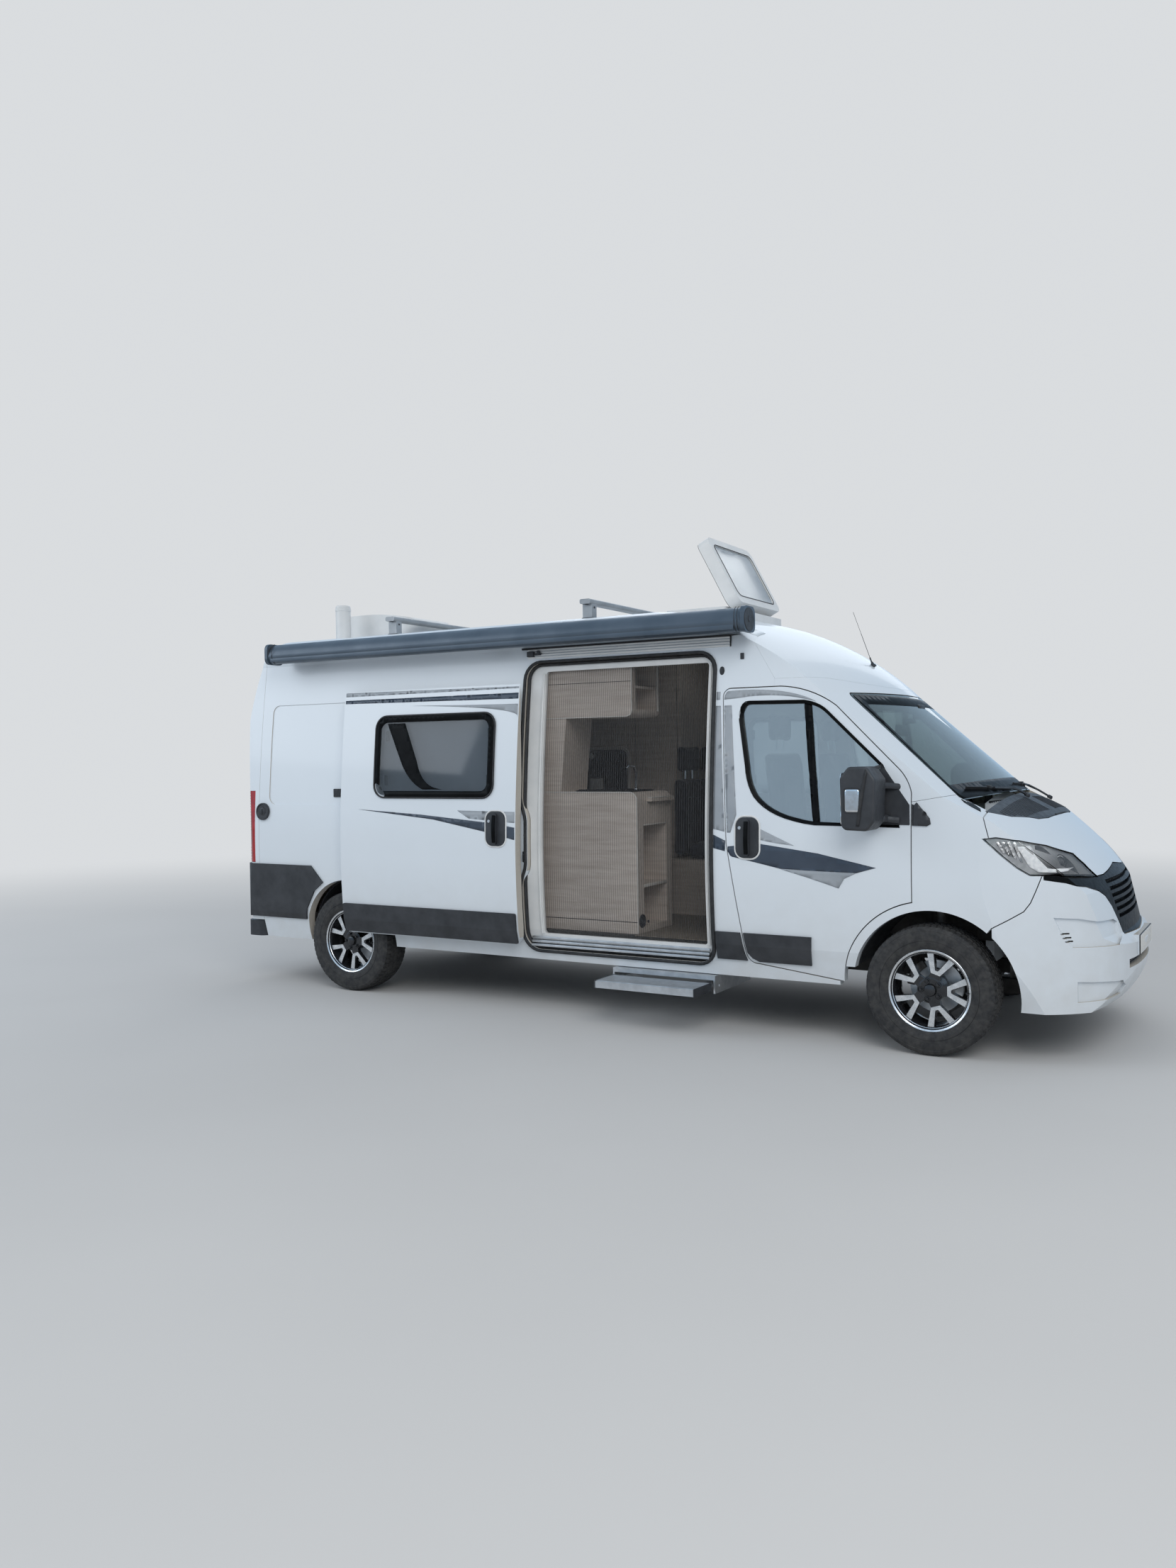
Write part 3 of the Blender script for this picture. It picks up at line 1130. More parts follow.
film("screen_border", screen_outline(0.004, 0.004, 0.004), "front", ["windscreen"], GLOSS, lift=0.0004,
    step=0.05, holes=[screen_outline(0.036, 0.075, 0.06)])
sensor = Piece()
spot = lay("front", 0, 1.86, ["windscreen"])
sensor.box(spot + Vector((-0.075, -0.055, -0.05)), spot + Vector((-0.02, 0.055, 0.04)), 0.012)
sensor.box(spot + Vector((-0.15, -0.01, -0.075)), spot + Vector((-0.07, 0.01, -0.045)), 0.006)
sensor.box(spot + Vector((-0.165, -0.115, -0.15)), spot + Vector((-0.145, 0.115, -0.08)), 0.01)
sensor.done("inner_mirror", BLACK, slot="dash_plastic")


def wiper(tag, pivot_y, tip_y, tip_z):
    """A wiper lying along the foot of the screen: its arm, hinge cover and curved blade."""
    glass = ["windscreen"]
    arm = Piece()
    base = lay("top", 2.372, pivot_y, ["cowl"], 0.006)
    middle_y = pivot_y + (tip_y - pivot_y) * 0.55
    knee = lay("front", pivot_y + (tip_y - pivot_y) * 0.12, 1.385, glass, 0.018)
    held = lay("front", middle_y, tip_z - 0.012, glass, 0.017)
    arm.lathe([(0.004, 0), (0.016, 0), (0.017, 0.01), (0.012, 0.02), (0.004, 0.021)], base, (0.5, 0, 0.87),
        24)
    arm.sweep([base + Vector((0, 0, 0.012)), base.lerp(knee, 0.5) + Vector((0, 0, 0.01)), knee,
        knee.lerp(held, 0.5), held], [(-0.01, -0.004), (0.01, -0.004), (0.008, 0.005), (-0.008, 0.005)])
    arm.done(f"wiper_arm_{tag}", BLACK)
    blade = Piece()
    line = []
    for i in range(17):
        y = pivot_y + (tip_y - pivot_y) * (0.1 + 0.9 * i / 16)
        line.append(lay("front", y, tip_z - 0.02 + 0.02 * (i / 16), glass, 0.01))
    blade.sweep(line, [(-0.004, 0.008), (0.004, 0.008), (0.003, 0.0), (0.001, -0.0095), (-0.001, -0.0095),
        (-0.003, 0.0)], up=(0.5, 0, 0.87))
    clip = line[9]
    blade.box(clip + Vector((-0.012, -0.03, -0.002)), clip + Vector((0.01, 0.03, 0.016)), 0.004)
    blade.done(f"wiper_blade_{tag}", RUBBER)


wiper("right", -0.08, -0.74, 1.408)
wiper("left", 0.64, 0.01, 1.412)

for side, tag in SIDES:
    outline = [(2.204, side * 0.862), (2.25, side * 0.87), (2.298, side * 0.9), (2.312, side * 0.948),
        (2.262, side * 0.944), (2.222, side * 0.93), (2.2, side * 0.905)]
    film(f"screen_foot_{tag}", outline, "top", ["fenders", "cab_frame", "cowl"], GLOSS, lift=0.0008,
        step=0.02)

whip = Piece()
base = lay("top", 1.451, 0, ["roof_panel", "cab_frame"])
tip = base + Vector((-0.125, 0, 0.345))
whip.lathe([(0.0001, -0.004), (0.021, -0.004), (0.019, 0.006), (0.01, 0.016), (0.0055, 0.03),
    (0.0001, 0.03)], base, (-0.3, 0, 1), 28)
whip.tube([base.lerp(tip, 0.06), base.lerp(tip, 0.16)], 0.0042, 10)
whip.tube([base.lerp(tip, 0.15), base.lerp(tip, 0.6)], 0.0017, 8)
whip.tube([base.lerp(tip, 0.59), tip], 0.0012, 8)
whip.done("aerial", BLACK)

film("scuttle_shade", [(-0.8, 1.225), (0.8, 1.225), (0.8, 1.3), (0.55, 1.332), (-0.55, 1.332), (-0.8, 1.3)],
    "front", ["cab_frame"], BLACK, lift=0.0008, thick=0.0008, step=0.04)

# Ribbed aprons that close the front wheel houses towards the engine bay.
APRON_X, APRON_Z, APRON_R = 2.07, 0.335, 0.438
for side, tag in SIDES:
    apron = Piece()
    near, far = side * 0.53, side * 0.534
    arc = [radians(a) for a in range(31, 150, 4)]
    apron.prism([(APRON_X + APRON_R * cos(a), near, APRON_Z + APRON_R * sin(a)) for a in arc],
        (0, far - near, 0))
    for x in (-0.26, -0.13, 0.0, 0.13, 0.26):
        top = APRON_Z + sqrt(APRON_R ** 2 - x ** 2) - 0.02
        apron.box((APRON_X + x - 0.007, far, 0.575), (APRON_X + x + 0.007, far + side * 0.006, top), 0.002)
    apron.done(f"wheel_apron_{tag}", M["underbody_black"], slot="black_plastic")


# Front doors: glass seals and divider, mirror parts, handles and the sail's foot on the fender.

GLASS_EDGE = arc_points((1.074, 1.371), (1.213, 1.271), (1.431, 1.219), 8)
GLASS_EDGE += [(1.431, 1.219), (1.905, 1.212), (1.905, 1.36), (1.81, 1.545), (1.5, 1.842)]
GLASS_EDGE += arc_points((1.5, 1.842), (1.44, 1.884), (1.36, 1.908), 5) + [(1.36, 1.908), (1.03, 1.914)]
GLASS_EDGE += arc_points((1.03, 1.914), (0.986, 1.89), (0.974, 1.814), 5) + [(0.974, 1.814), (1.018, 1.549)]
GLASS_EDGE += arc_points((1.018, 1.549), (1.036, 1.452), (1.074, 1.371), 5)


def shrunk(outline, margin):
    """The outline drawn in by a margin, point by point along its corners' bisectors."""
    count = len(outline)
    area = sum(a[0] * b[1] - b[0] * a[1] for a, b in zip(outline, outline[1:] + outline[:1]))
    turn = 1 if area > 0 else -1
    moved = []
    for i, (x, z) in enumerate(outline):
        before, after = Vector(outline[i - 1]), Vector(outline[(i + 1) % count])
        here = Vector((x, z))
        first, second = (here - before).normalized(), (after - here).normalized()
        across = Vector((-first.y - second.y, first.x + second.x)).normalized() * turn
        moved.append(tuple(here + across * margin))
    return moved


def band_piece(name, outer, inner, side, names, mat, body, slot, proud=0.0045):
    """A flat seal between two outlines of as many points, standing a little proud of the skin."""
    piece = Piece()
    rings = []
    for a, b in zip(fine_pairs(outer, inner, 0.025), fine_pairs(inner, outer, 0.025)):
        feet = [lay(side, p[0], p[1], names) for p in (a, b)]
        if None in feet:
            continue
        y = (max if side == LEFT else min)(feet[0].y, feet[1].y) + side * proud
        tops = [Vector((foot.x, foot.y * 0.5 + y * 0.5 + side * proud * 0.3, foot.z)) for foot in feet]
        sunk = Vector((0, side * 0.004, 0))
        rings.append([piece.bm.verts.new(v) for v in (feet[0] - sunk, tops[0], tops[1], feet[1] - sunk)])
    for first, second in zip(rings, rings[1:] + rings[:1]):
        for i in range(4):
            j = (i + 1) % 4
            piece.bm.faces.new((first[i], first[j], second[j], second[i]))
    return piece.done(name, mat, body, slot=slot, smooth=50)


def fine_pairs(outline, other, step):
    """The outline with extra points, split alike for both outlines so that they stay in pairs."""
    points = []
    count = len(outline)
    for i in range(count):
        j = (i + 1) % count
        span = max((Vector(outline[j]) - Vector(outline[i])).length,
            (Vector(other[j]) - Vector(other[i])).length)
        parts = max(1, int(span / step + 0.999))
        points += [tuple(Vector(outline[i]).lerp(Vector(outline[j]), k / parts)) for k in range(parts)]
    return points


for side, tag in SIDES:
    body = f"front_door_{tag}"
    skins = [f"front_door_{tag}", f"front_glass_{tag}", f"mirror_{tag}"]
    band_piece(f"glass_seal_{tag}", shrunk(GLASS_EDGE, -0.004), shrunk(GLASS_EDGE, 0.015), side, skins[:2],
        GLOSS, body, "black_plastic")
    divider = [(1.42, 1.232), (1.458, 1.228), (1.396, 1.895), (1.356, 1.898)]
    film(f"glass_divider_{tag}", divider, side, skins[:2], GLOSS, body, slot="black_plastic", lift=0.002,
        thick=0.004)
    film(f"quarter_trim_{tag}", [(1.744, 1.226), (1.76, 1.226), (1.786, 1.4), (1.81, 1.53), (1.8, 1.548),
        (1.768, 1.4)], side, skins, RUBBER, body, lift=0.001, thick=0.003)
    film(f"sail_foot_{tag}", [(1.974, 1.222), (2.052, 1.22), (2.072, 1.232), (2.066, 1.262),
        (1.974, 1.372)], side, ["fenders"], BLACK, lift=0.0005, thick=0.007, step=0.02)

    arms = Piece()
    for z, x_low in ((1.262, 1.77), (1.438, 1.742)):
        start = Vector((1.8, side * 1.07, z))
        foot = lay(side, 1.905, z - 0.012, [f"mirror_{tag}"])
        foot = foot if foot is not None and abs(foot.y) < 1.06 else Vector((1.905, side * 0.985, z - 0.012))
        line = [start + Vector((0, side * 0.045, 0)), start.lerp(foot, 0.35), start.lerp(foot, 0.8), foot]
        arms.sweep(line, [(-0.02, -0.016), (0.02, -0.016), (0.024, 0.0), (0.018, 0.017), (-0.018, 0.017),
            (-0.024, 0.0)])
    arms.done(f"mirror_arms_{tag}", BLACK, body, smooth=50, bevel=0.004)
    glass_frame = Piece()
    for low, high in (((1.11, 1.325), (1.225, 1.505)), ((1.11, 1.232), (1.225, 1.306))):
        outline = rounded(low[0], high[0], low[1], high[1], 0.018)
        glass_frame.prism([(1.654, side * a, b) for a, b in outline], (-0.004, 0, 0))
    glass_frame.done(f"mirror_glass_{tag}", CHROME, body, slot="cab_glass")
    film(f"repeater_back_{tag}", rounded(1.682, 1.762, 1.3, 1.42, 0.014), side, [f"mirror_{tag}"], CHROME,
        body, slot="lamp_clear", lift=-0.003, thick=0.0032, step=0.02)
    lens = Piece()
    for i in range(7):
        z = 1.309 + 0.0163 * i
        spot = lay(side, 1.722, z, [f"mirror_{tag}"])
        lens.box((1.687, spot.y, z), (1.757, spot.y - side * 0.004, z + 0.012), 0.0015)
    lens.done(f"repeater_lens_{tag}", GUIDE, body)
    seam = Piece()
    line = fine(rounded(1.676, 1.768, 1.294, 1.426, 0.016), 0.03)
    seam.tube(laid(side, line, [f"mirror_{tag}"]), 0.0016, 6, closed=True, up=(0, side, 0))
    seam.done(f"repeater_seam_{tag}", RUBBER, body)


def handle_detail(tag, side, box, names, body):
    """A pull handle's pale surround, the grip's rounded bar and its lock."""
    x_low, x_high, z_low, z_high = box
    edge = fine(rounded(x_low - 0.007, x_high + 0.007, z_low - 0.007, z_high + 0.007, 0.055), 0.03)
    ring = Piece()
    ring.tube(laid(side, edge, names, 0.0015), 0.0055, 8, closed=True, up=(0, side, 0))
    ring.done(f"handle_edge_{tag}", M["white_plastic"], body, smooth=60)
    middle = (x_low + x_high) / 2
    bar = Piece()
    line = []
    for i in range(13):
        z = z_low + 0.022 + (z_high - z_low - 0.044) * i / 12
        spot = lay(side, middle, z, names)
        swell = 0.004 + 0.007 * sin(pi * i / 12)
        line.append(spot + Vector((0, side * swell, 0)))
    bar.sweep(line, [(-0.013, -0.004), (-0.009, 0.005), (0, 0.008), (0.009, 0.005), (0.013, -0.004)],
        up=(0, side, 0))
    bar.done(f"handle_bar_{tag}", GLOSS, body, smooth=60)
    lock = Piece()
    spot = lay(side, x_low + 0.022, z_high - 0.06, names)
    lock.lathe([(0.0001, 0.0015), (0.0085, 0.0015), (0.01, 0), (0.01, -0.004), (0.0001, -0.004)], spot,
        (0, side, 0), 24)
    lock.done(f"handle_lock_{tag}", M["aluminium"], body)


for side, tag in SIDES:
    handle_detail(f"front_{tag}", side, (0.965, 1.102, 1.024, 1.253),
        [f"mirror_{tag}", f"front_door_{tag}"], f"front_door_{tag}")
handle_detail("slider", RIGHT, (0.599 + SLID.x, 0.743 + SLID.x, 1.056, 1.271),
    ["side_cladding", "sliding_door"], "root")


# The filler's cap, tail lamps, and the side door's rail with its latch.

port = lay(RIGHT, -2.766, 1.247, ["side_cladding"])
cap = Piece()
cap.lathe([(0.0001, 0.004), (0.026, 0.0035), (0.03, 0.001), (0.033, 0.002), (0.036, -0.002),
    (0.0001, -0.002)], port, (0, RIGHT, 0), 40)
cap.lathe([(0.05, 0.0), (0.053, 0.004), (0.058, 0.004), (0.061, 0.0)], port, (0, RIGHT, 0), 48)
cap.box(port + Vector((-0.004, -0.008, -0.02)), port + Vector((0.004, 0, 0.02)), 0.0015)
cap.done("filler_cap", BLACK)

for side, tag in SIDES:
    for i, (z_low, z_high, mat) in enumerate(((0.884, 0.99, M["lamp_red"]), (1.0, 1.09, GUIDE),
                                              (1.1, 1.2, AMBER), (1.21, 1.39, M["lamp_red"]))):
        lamp_part = Piece()
        rows = max(3, int((z_high - z_low) / 0.018))
        for j in range(rows):
            z = z_low + (z_high - z_low) * (j + 0.5) / rows
            line = []
            for k in range(7):
                y = side * (0.846 + 0.024 * k)
                spot = lay("rear", y, z, ["tail_lamps"], 0.0004)
                if spot is not None and spot.x < -2.86:
                    line.append(spot)
            if len(line) > 3:
                lamp_part.tube(line, 0.0035, 6)
        lamp_part.done(f"tail_ribs_{i}_{tag}", mat, slot="lamp_red")

latch = Piece()
spot = lay(RIGHT, -1.985, 1.383, ["side_panel_right"])
latch.box((-2.092, spot.y - 0.012, 1.354), (-2.022, spot.y + 0.002, 1.413), 0.006)
latch.box((-2.03, spot.y - 0.008, 1.366), (-1.99, spot.y + 0.002, 1.4), 0.004)
for i in range(3):
    latch.box((-2.084 + 0.018 * i, spot.y - 0.015, 1.36), (-2.074 + 0.018 * i, spot.y - 0.01, 1.407), 0.002)
latch.done("rail_latch", BLACK)
rail = Piece()
line = [(-1.985 + 0.1 * i, 1.383) for i in range(1, 14)]
rail.sweep(laid(RIGHT, line, ["side_panel_right"], 0.0005), [(-0.011, -0.002), (-0.011, 0.009),
    (-0.005, 0.009), (-0.003, 0.003), (0.003, 0.003), (0.005, 0.009), (0.011, 0.009), (0.011, -0.002)],
    up=(0, RIGHT, 0))
rail.done("middle_rail", M["aluminium"])


# The doorway's rear edge: striker and hook.

striker = Piece()
spot = lay(RIGHT, -0.486, 0.985, ["side_panel_right"])
striker.box((-0.5, spot.y - 0.006, 0.95), (-0.474, spot.y + 0.004, 1.018), 0.004)
striker.tube([(-0.487, spot.y - 0.004, 0.968), (-0.487, spot.y - 0.02, 0.972),
    (-0.487, spot.y - 0.02, 0.996), (-0.487, spot.y - 0.004, 1.0)], 0.004, 10, up=(1, 0, 0))
striker.done("door_striker", BLACK)
hook = Piece()
spot = lay(RIGHT, -0.484, 1.12, ["side_panel_right"])
hook.lathe([(0.0001, 0.006), (0.008, 0.005), (0.01, 0), (0.0001, 0)], spot, (0, RIGHT, 0), 24)
hook.tube([spot + Vector((0, -0.004, 0)), spot + Vector((0.004, -0.012, -0.01)),
    spot + Vector((0.006, -0.012, -0.026))], 0.0025, 8)
hook.done("door_hook", M["aluminium"])


# Soft pieces: cab seats, bench and mattress, each swollen by a short cloth run with its travel capped.

PRESSURE = 4
CLOTH_FRAMES = 20


def apply_modifiers(obj):
    """Put the object's evaluated mesh in place of its own and drop its modifiers."""
    deps = bpy.context.evaluated_depsgraph_get()
    mesh = bpy.data.meshes.new_from_object(obj.evaluated_get(deps))
    obj.modifiers.clear()
    obj.data = mesh
    return mesh


def stuffed(name, piece, mat, node, cap=0.012, voxel=0.012):
    """A crowned pad made from a rough form: remeshed, blown up a little and smoothed."""
    obj = piece.done(name, mat, None, smooth=180)
    skin = obj.modifiers.new("Remesh", "REMESH")
    skin.mode = "VOXEL"
    skin.voxel_size = voxel
    start = [v.co.copy() for v in apply_modifiers(obj).vertices]
    cloth = obj.modifiers.new("Cloth", "CLOTH").settings
    cloth.use_pressure = True
    cloth.uniform_pressure_force = PRESSURE
    cloth.effector_weights.gravity = 0
    for step in range(1, CLOTH_FRAMES + 1):
        bpy.context.scene.frame_set(step)
    for v, rest in zip(apply_modifiers(obj).vertices, start):
        travel = v.co - rest
        if travel.length > cap:
            v.co = rest + travel.normalized() * cap
    bpy.context.scene.frame_set(1)
    rounder = obj.modifiers.new("Subdivision", "SUBSURF")
    rounder.levels = 1
    apply_modifiers(obj).shade_smooth()
    settle(obj, "root")
    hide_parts(node)
    return obj


def stitched(name, obj, rows, look, mat, radius=0.003):
    """Piping laid on a pad along rows of points, found by looking along a direction."""
    tree = BVHTree.FromPolygons([v.co for v in obj.data.vertices], [p.vertices for p in obj.data.polygons])
    look = Vector(look)
    piece = Piece()
    for a, b in rows:
        line = []
        for i in range(25):
            spot = tree.ray_cast(Vector(a).lerp(Vector(b), i / 24) - look * 0.5, look)[0]
            if spot is not None:
                line.append(spot)
        if len(line) > 2:
            piece.tube(line, radius, 8, up=(0.2, 0.3, 1) if abs(look.z) < 0.5 else (1, 0.2, 0))
    piece.done(name, mat, slot="grey_fabric")


LEAN = Matrix.Rotation(radians(-5.5), 3, "Y")


def seat_back(name, x, y_low, y_high, z_low, z_high, thick, mat, node, lean=None):
    """A seat back with raised sides and its piping."""
    middle_y, wide = (y_low + y_high) / 2, y_high - y_low
    form = Piece()
    form.box((x - thick / 2, y_low, z_low), (x + thick / 2 - 0.012, y_high, z_high), 0.022, lean)
    side_pad = wide * 0.19
    for low, high in ((y_low, y_low + side_pad), (y_high - side_pad, y_high)):
        form.box((x - thick / 2 + 0.01, low, z_low), (x + thick / 2, high, z_high - 0.05), 0.022, lean)
    obj = stuffed(name, form, mat, node)
    rows = [((x, y, z_low + 0.04), (x, y, z_high - 0.04))
        for y in (middle_y - wide * 0.29, middle_y + wide * 0.29)]
    rows += [((x, middle_y - wide * 0.29, z), (x, middle_y + wide * 0.29, z))
        for z in (z_low + (z_high - z_low) * 0.42, z_low + (z_high - z_low) * 0.75)]
    stitched(f"{name}_piping", obj, rows, (-1, 0, 0), M["grey_fabric"])
    return obj


def headrest(name, x, y, z, wide, tall, node, posts=0.05):
    """A padded headrest on two bright posts."""
    form = Piece()
    form.box((x - 0.026, y - wide / 2, z), (x + 0.026, y + wide / 2, z + tall), 0.022)
    obj = stuffed(name, form, DARK_CLOTH, node, cap=0.009)
    stitched(f"{name}_piping", obj,
        [((x, y - wide * 0.38, z + tall * 0.5), (x, y + wide * 0.38, z + tall * 0.5))], (-1, 0, 0),
        M["grey_fabric"], 0.0022)
    rods = Piece()
    for dy in (-0.055, 0.055):
        rods.tube([(x, y + dy, z - posts), (x, y + dy, z - posts / 2), (x, y + dy, z + 0.03)], 0.006, 12,
            up=(1, 0, 0))
    rods.done(f"{name}_posts", CHROME)


for side, tag in SIDES:
    y = side * 0.46
    form = Piece()
    form.box((1.145, y - 0.215, 0.89), (1.57, y + 0.215, 0.962), 0.028)
    for dy in (-0.195, 0.195):
        form.box((1.165, y + dy - 0.03, 0.895), (1.555, y + dy + 0.03, 0.982), 0.026)
    seat = stuffed(f"seat_cushion_{tag}", form, DARK_CLOTH, "cab_seats")
    stitched(f"seat_cushion_{tag}_piping", seat, [((1.17, y + dy, 1), (1.55, y + dy, 1))
        for dy in (-0.15, 0.15)] + [((x, y - 0.15, 1), (x, y + 0.15, 1)) for x in (1.3, 1.43)], (0, 0, -1),
        M["grey_fabric"])
    seat_back(f"seat_back_{tag}", 1.066, y - 0.22, y + 0.22, 0.975, 1.625, 0.088, DARK_CLOTH, "cab_seats",
        LEAN)
    headrest(f"seat_head_{tag}", 1.014, y, 1.69, 0.27, 0.16, "cab_seats")
    base = Piece()
    base.box((1.19, y - 0.19, FLOOR_Z + 0.002), (1.52, y + 0.19, 0.7), 0.012)
    base.box((1.15, y - 0.215, 0.7), (1.56, y + 0.215, 0.74), 0.01)
    base.box((1.17, y - 0.2, 0.74), (1.545, y + 0.2, 0.885), 0.016)
    for dy in (-0.225, 0.225):
        base.box((1.11, y + dy - 0.012, 0.8), (1.5, y + dy + 0.012, 0.93), 0.01)
    base = base.done(f"seat_base_{tag}", M["dash_plastic"])
    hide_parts("cab_seats")
    arm = Piece()
    middle = y - side * 0.244
    arm.box((1.085, middle - 0.017, 1.105), (1.36, middle + 0.017, 1.15), 0.014)
    arm = stuffed(f"seat_arm_{tag}", arm, DARK_CLOTH, "cab_seats", cap=0.006, voxel=0.008)
    stitched(f"seat_arm_piping_{tag}", arm, [((1.1, middle - 0.009, 1), (1.345, middle - 0.009, 1)),
        ((1.1, middle + 0.009, 1), (1.345, middle + 0.009, 1))], (0, 0, -1), M["grey_fabric"], 0.0018)

form = Piece()
form.box((0.104, 0.102, 0.912), (0.42, 0.838, 1.004), 0.026)
bench = stuffed("bench_cushion", form, DARK_CLOTH, "cushions")
stitched("bench_cushion_piping", bench, [((0.12, 0.47, 1), (0.41, 0.47, 1)),
    ((0.27, 0.12, 1), (0.27, 0.82, 1))], (0, 0, -1), M["grey_fabric"])
for y, tag in ((0.282, "right"), (0.658, "left")):
    seat_back(f"bench_back_{tag}", 0.036, y - 0.172, y + 0.172, 0.915, 1.455, 0.076, DARK_CLOTH, "cushions")
    headrest(f"bench_head_{tag}", 0.036, y, 1.5, 0.29, 0.18, "cushions")
for i, (x_low, x_high) in enumerate(((-2.836, -2.184), (-2.168, -1.518))):
    form = Piece()
    form.box((x_low, -0.845, 1.05), (x_high, 0.845, 1.172), 0.03)
    mattress = stuffed(f"mattress_{i}", form, LINEN, "cushions", cap=0.012, voxel=0.018)
    edge = Piece()
    for z in (1.062, 1.166):
        path = []
        tree = BVHTree.FromPolygons([v.co for v in mattress.data.vertices],
            [p.vertices for p in mattress.data.polygons])
        for x, y in fine(rounded(x_low, x_high, -0.845, 0.845, 0.05), 0.06):
            centre = Vector(((x_low + x_high) / 2, 0, z))
            away = Vector((x, y, z)) - centre
            spot = tree.ray_cast(centre + away * 1.3, -away.normalized())[0]
            if spot is not None:
                path.append(spot)
        edge.tube(path, 0.004, 8, closed=True)
    edge.done(f"mattress_{i}_piping", M["grey_fabric"])


# Furniture details that show through the doorway, and the living floor.

floor_outline = [(-1.48, 0.285), (-1.48, -0.415), (0.262, -0.415), (0.262, -0.955), (1.135, -0.955),
    (1.135, 0.85), (0.445, 0.85), (0.445, 0.285)]
vinyl = Piece()
vinyl.prism([(x, y, FLOOR_Z + 0.0005) for x, y in floor_outline], (0, 0, 0.0035))
vinyl.done("floor_vinyl", CARPET)

FRONT_Y = -0.8915
edges = Piece()
corner = [(0.201 + 0.05 * sin(a), 1.34 + 0.05 * cos(a)) for a in [pi / 2 * i / 8 for i in range(9)]]
line = [(-0.549, 1.39)] + corner + [(0.251, FLOOR_Z + 0.004)]
edges.sweep([(x, FRONT_Y, z) for x, z in fine(line, 0.05, False)],
    [(-0.003, -0.002), (-0.003, 0.003), (0.003, 0.003), (0.003, -0.002)], up=(0, -1, 0))
line = [(-0.489, 1.857), (0.183, 1.857), (0.208, 1.867), (0.218, 1.892), (0.218, 2.275)]
edges.sweep([(x, -0.8815, z) for x, z in line], [(-0.003, -0.002), (-0.003, 0.003), (0.003, 0.003),
    (0.003, -0.002)], up=(0, -1, 0))
for x in (0.078, 0.232):
    edges.box((x - 0.006, -0.567, 1.893), (x + 0.006, -0.559, 2.245), 0.002)
edges.box((0.253, -0.76, 1.351), (0.284, -0.452, 1.356), 0.002)
edges.box((0.2485, -0.806, 0.802), (0.2535, -0.504, 0.818), 0.002)
edges.box((0.2485, -0.806, 1.182), (0.2535, -0.504, 1.19), 0.002)
edges.done("kitchen_edges", EDGE_BAND)
grooves = Piece()
for low, high in (((-0.545, FRONT_Y - 0.0005, 0.59), (0.247, FRONT_Y + 0.003, 0.594)),
                  ((-0.485, -0.8815, 2.07), (0.214, -0.879, 2.073))):
    grooves.box(low, high, 0.0008)
grooves.done("kitchen_grooves", RUBBER)
vent = Piece()
vent.lathe([(0.0001, 0.004), (0.012, 0.004), (0.014, 0.001), (0.018, 0.001), (0.02, 0.005), (0.024, 0.005),
    (0.026, 0.001), (0.03, 0.001), (0.032, 0.006), (0.04, 0.005), (0.042, 0), (0.0001, 0)],
    (0.2515, -0.838, 0.596), (1, 0, 0), 40)
vent.lathe([(0.0001, 0.004), (0.009, 0.003), (0.01, 0), (0.0001, 0)], (0.2515, -0.762, 0.585), (1, 0, 0), 24)
vent.done("kitchen_vent", BLACK)
drawers = Piece()
for z_low, z_high in ((0.6, 0.84), (0.85, 1.08), (1.09, 1.3)):
    for x_low, x_high in ((-0.54, -0.16), (-0.15, 0.235)):
        drawers.box((x_low, -0.432, z_low), (x_high, -0.418, z_high), 0.003)
drawers.done("kitchen_drawers", M["light_wood"])
pulls = Piece()
for z in (0.815, 1.055, 1.275):
    for x in (-0.35, 0.042):
        pulls.tube([(x - 0.07, -0.42, z), (x - 0.066, -0.404, z), (x + 0.066, -0.404, z),
            (x + 0.07, -0.42, z)], 0.005, 8)
pulls.tube([(0.02, -0.47, 1.388), (0.02, -0.47, 1.5), (0.02, -0.5, 1.545), (0.02, -0.57, 1.55),
    (0.02, -0.6, 1.53)], 0.009, 14, up=(1, 0, 0))
pulls.lathe([(0.0001, 0.012), (0.02, 0.01), (0.024, 0), (0.0001, 0)], (0.02, -0.47, 1.39), (0, 0, 1), 28)
pulls.done("kitchen_metal", CHROME)
hob = Piece()
lid = rounded(-0.215, 0.185, -0.856, -0.52, 0.028)
hob.prism([(x, y, 1.3905) for x, y in lid], (0, 0, 0.0065))
hob.sweep([(x, y, 1.397) for x, y in lid], round_section(0.0028, 8), closed=True)
for x in (-0.15, 0.12):
    hob.tube([(x - 0.028, -0.861, 1.4), (x + 0.028, -0.861, 1.4)], 0.0065, 14)
    hob.box((x - 0.02, -0.861, 1.3965), (x + 0.02, -0.836, 1.4005), 0.0015)
hob.tube([(-0.055, -0.5215, 1.3985), (0.025, -0.5215, 1.3985)], 0.0045, 12)
hob.done("kitchen_lid", GLOSS)

PANEL_Y = 0.2985
panel = Piece()
outline = rounded(-0.88, -0.462, 1.08, 1.66, 0.05)
panel.prism([(x, PANEL_Y, z) for x, z in outline], (0, -0.012, 0))
panel.done("wash_panel", M["dash_plastic"], bevel=0.003)
panel = Piece()
line = [(x, PANEL_Y - 0.006, z) for x, z in rounded(-0.893, -0.449, 1.067, 1.673, 0.06)]
panel.sweep(line, flat_section(0.01, -0.008, 0.008), closed=True, up=(0, -1, 0))
panel.done("wash_panel_edge", EDGE_BAND, bevel=0.002)
knob = Piece()
knob.lathe([(0.0001, 0.022), (0.016, 0.02), (0.02, 0.012), (0.012, 0.004), (0.022, 0), (0.0001, 0)],
    (-0.758, PANEL_Y - 0.012, 1.619), (0, -1, 0), 28)
knob.box((-0.77, PANEL_Y - 0.016, 1.368), (-0.659, PANEL_Y - 0.011, 1.454), 0.003)
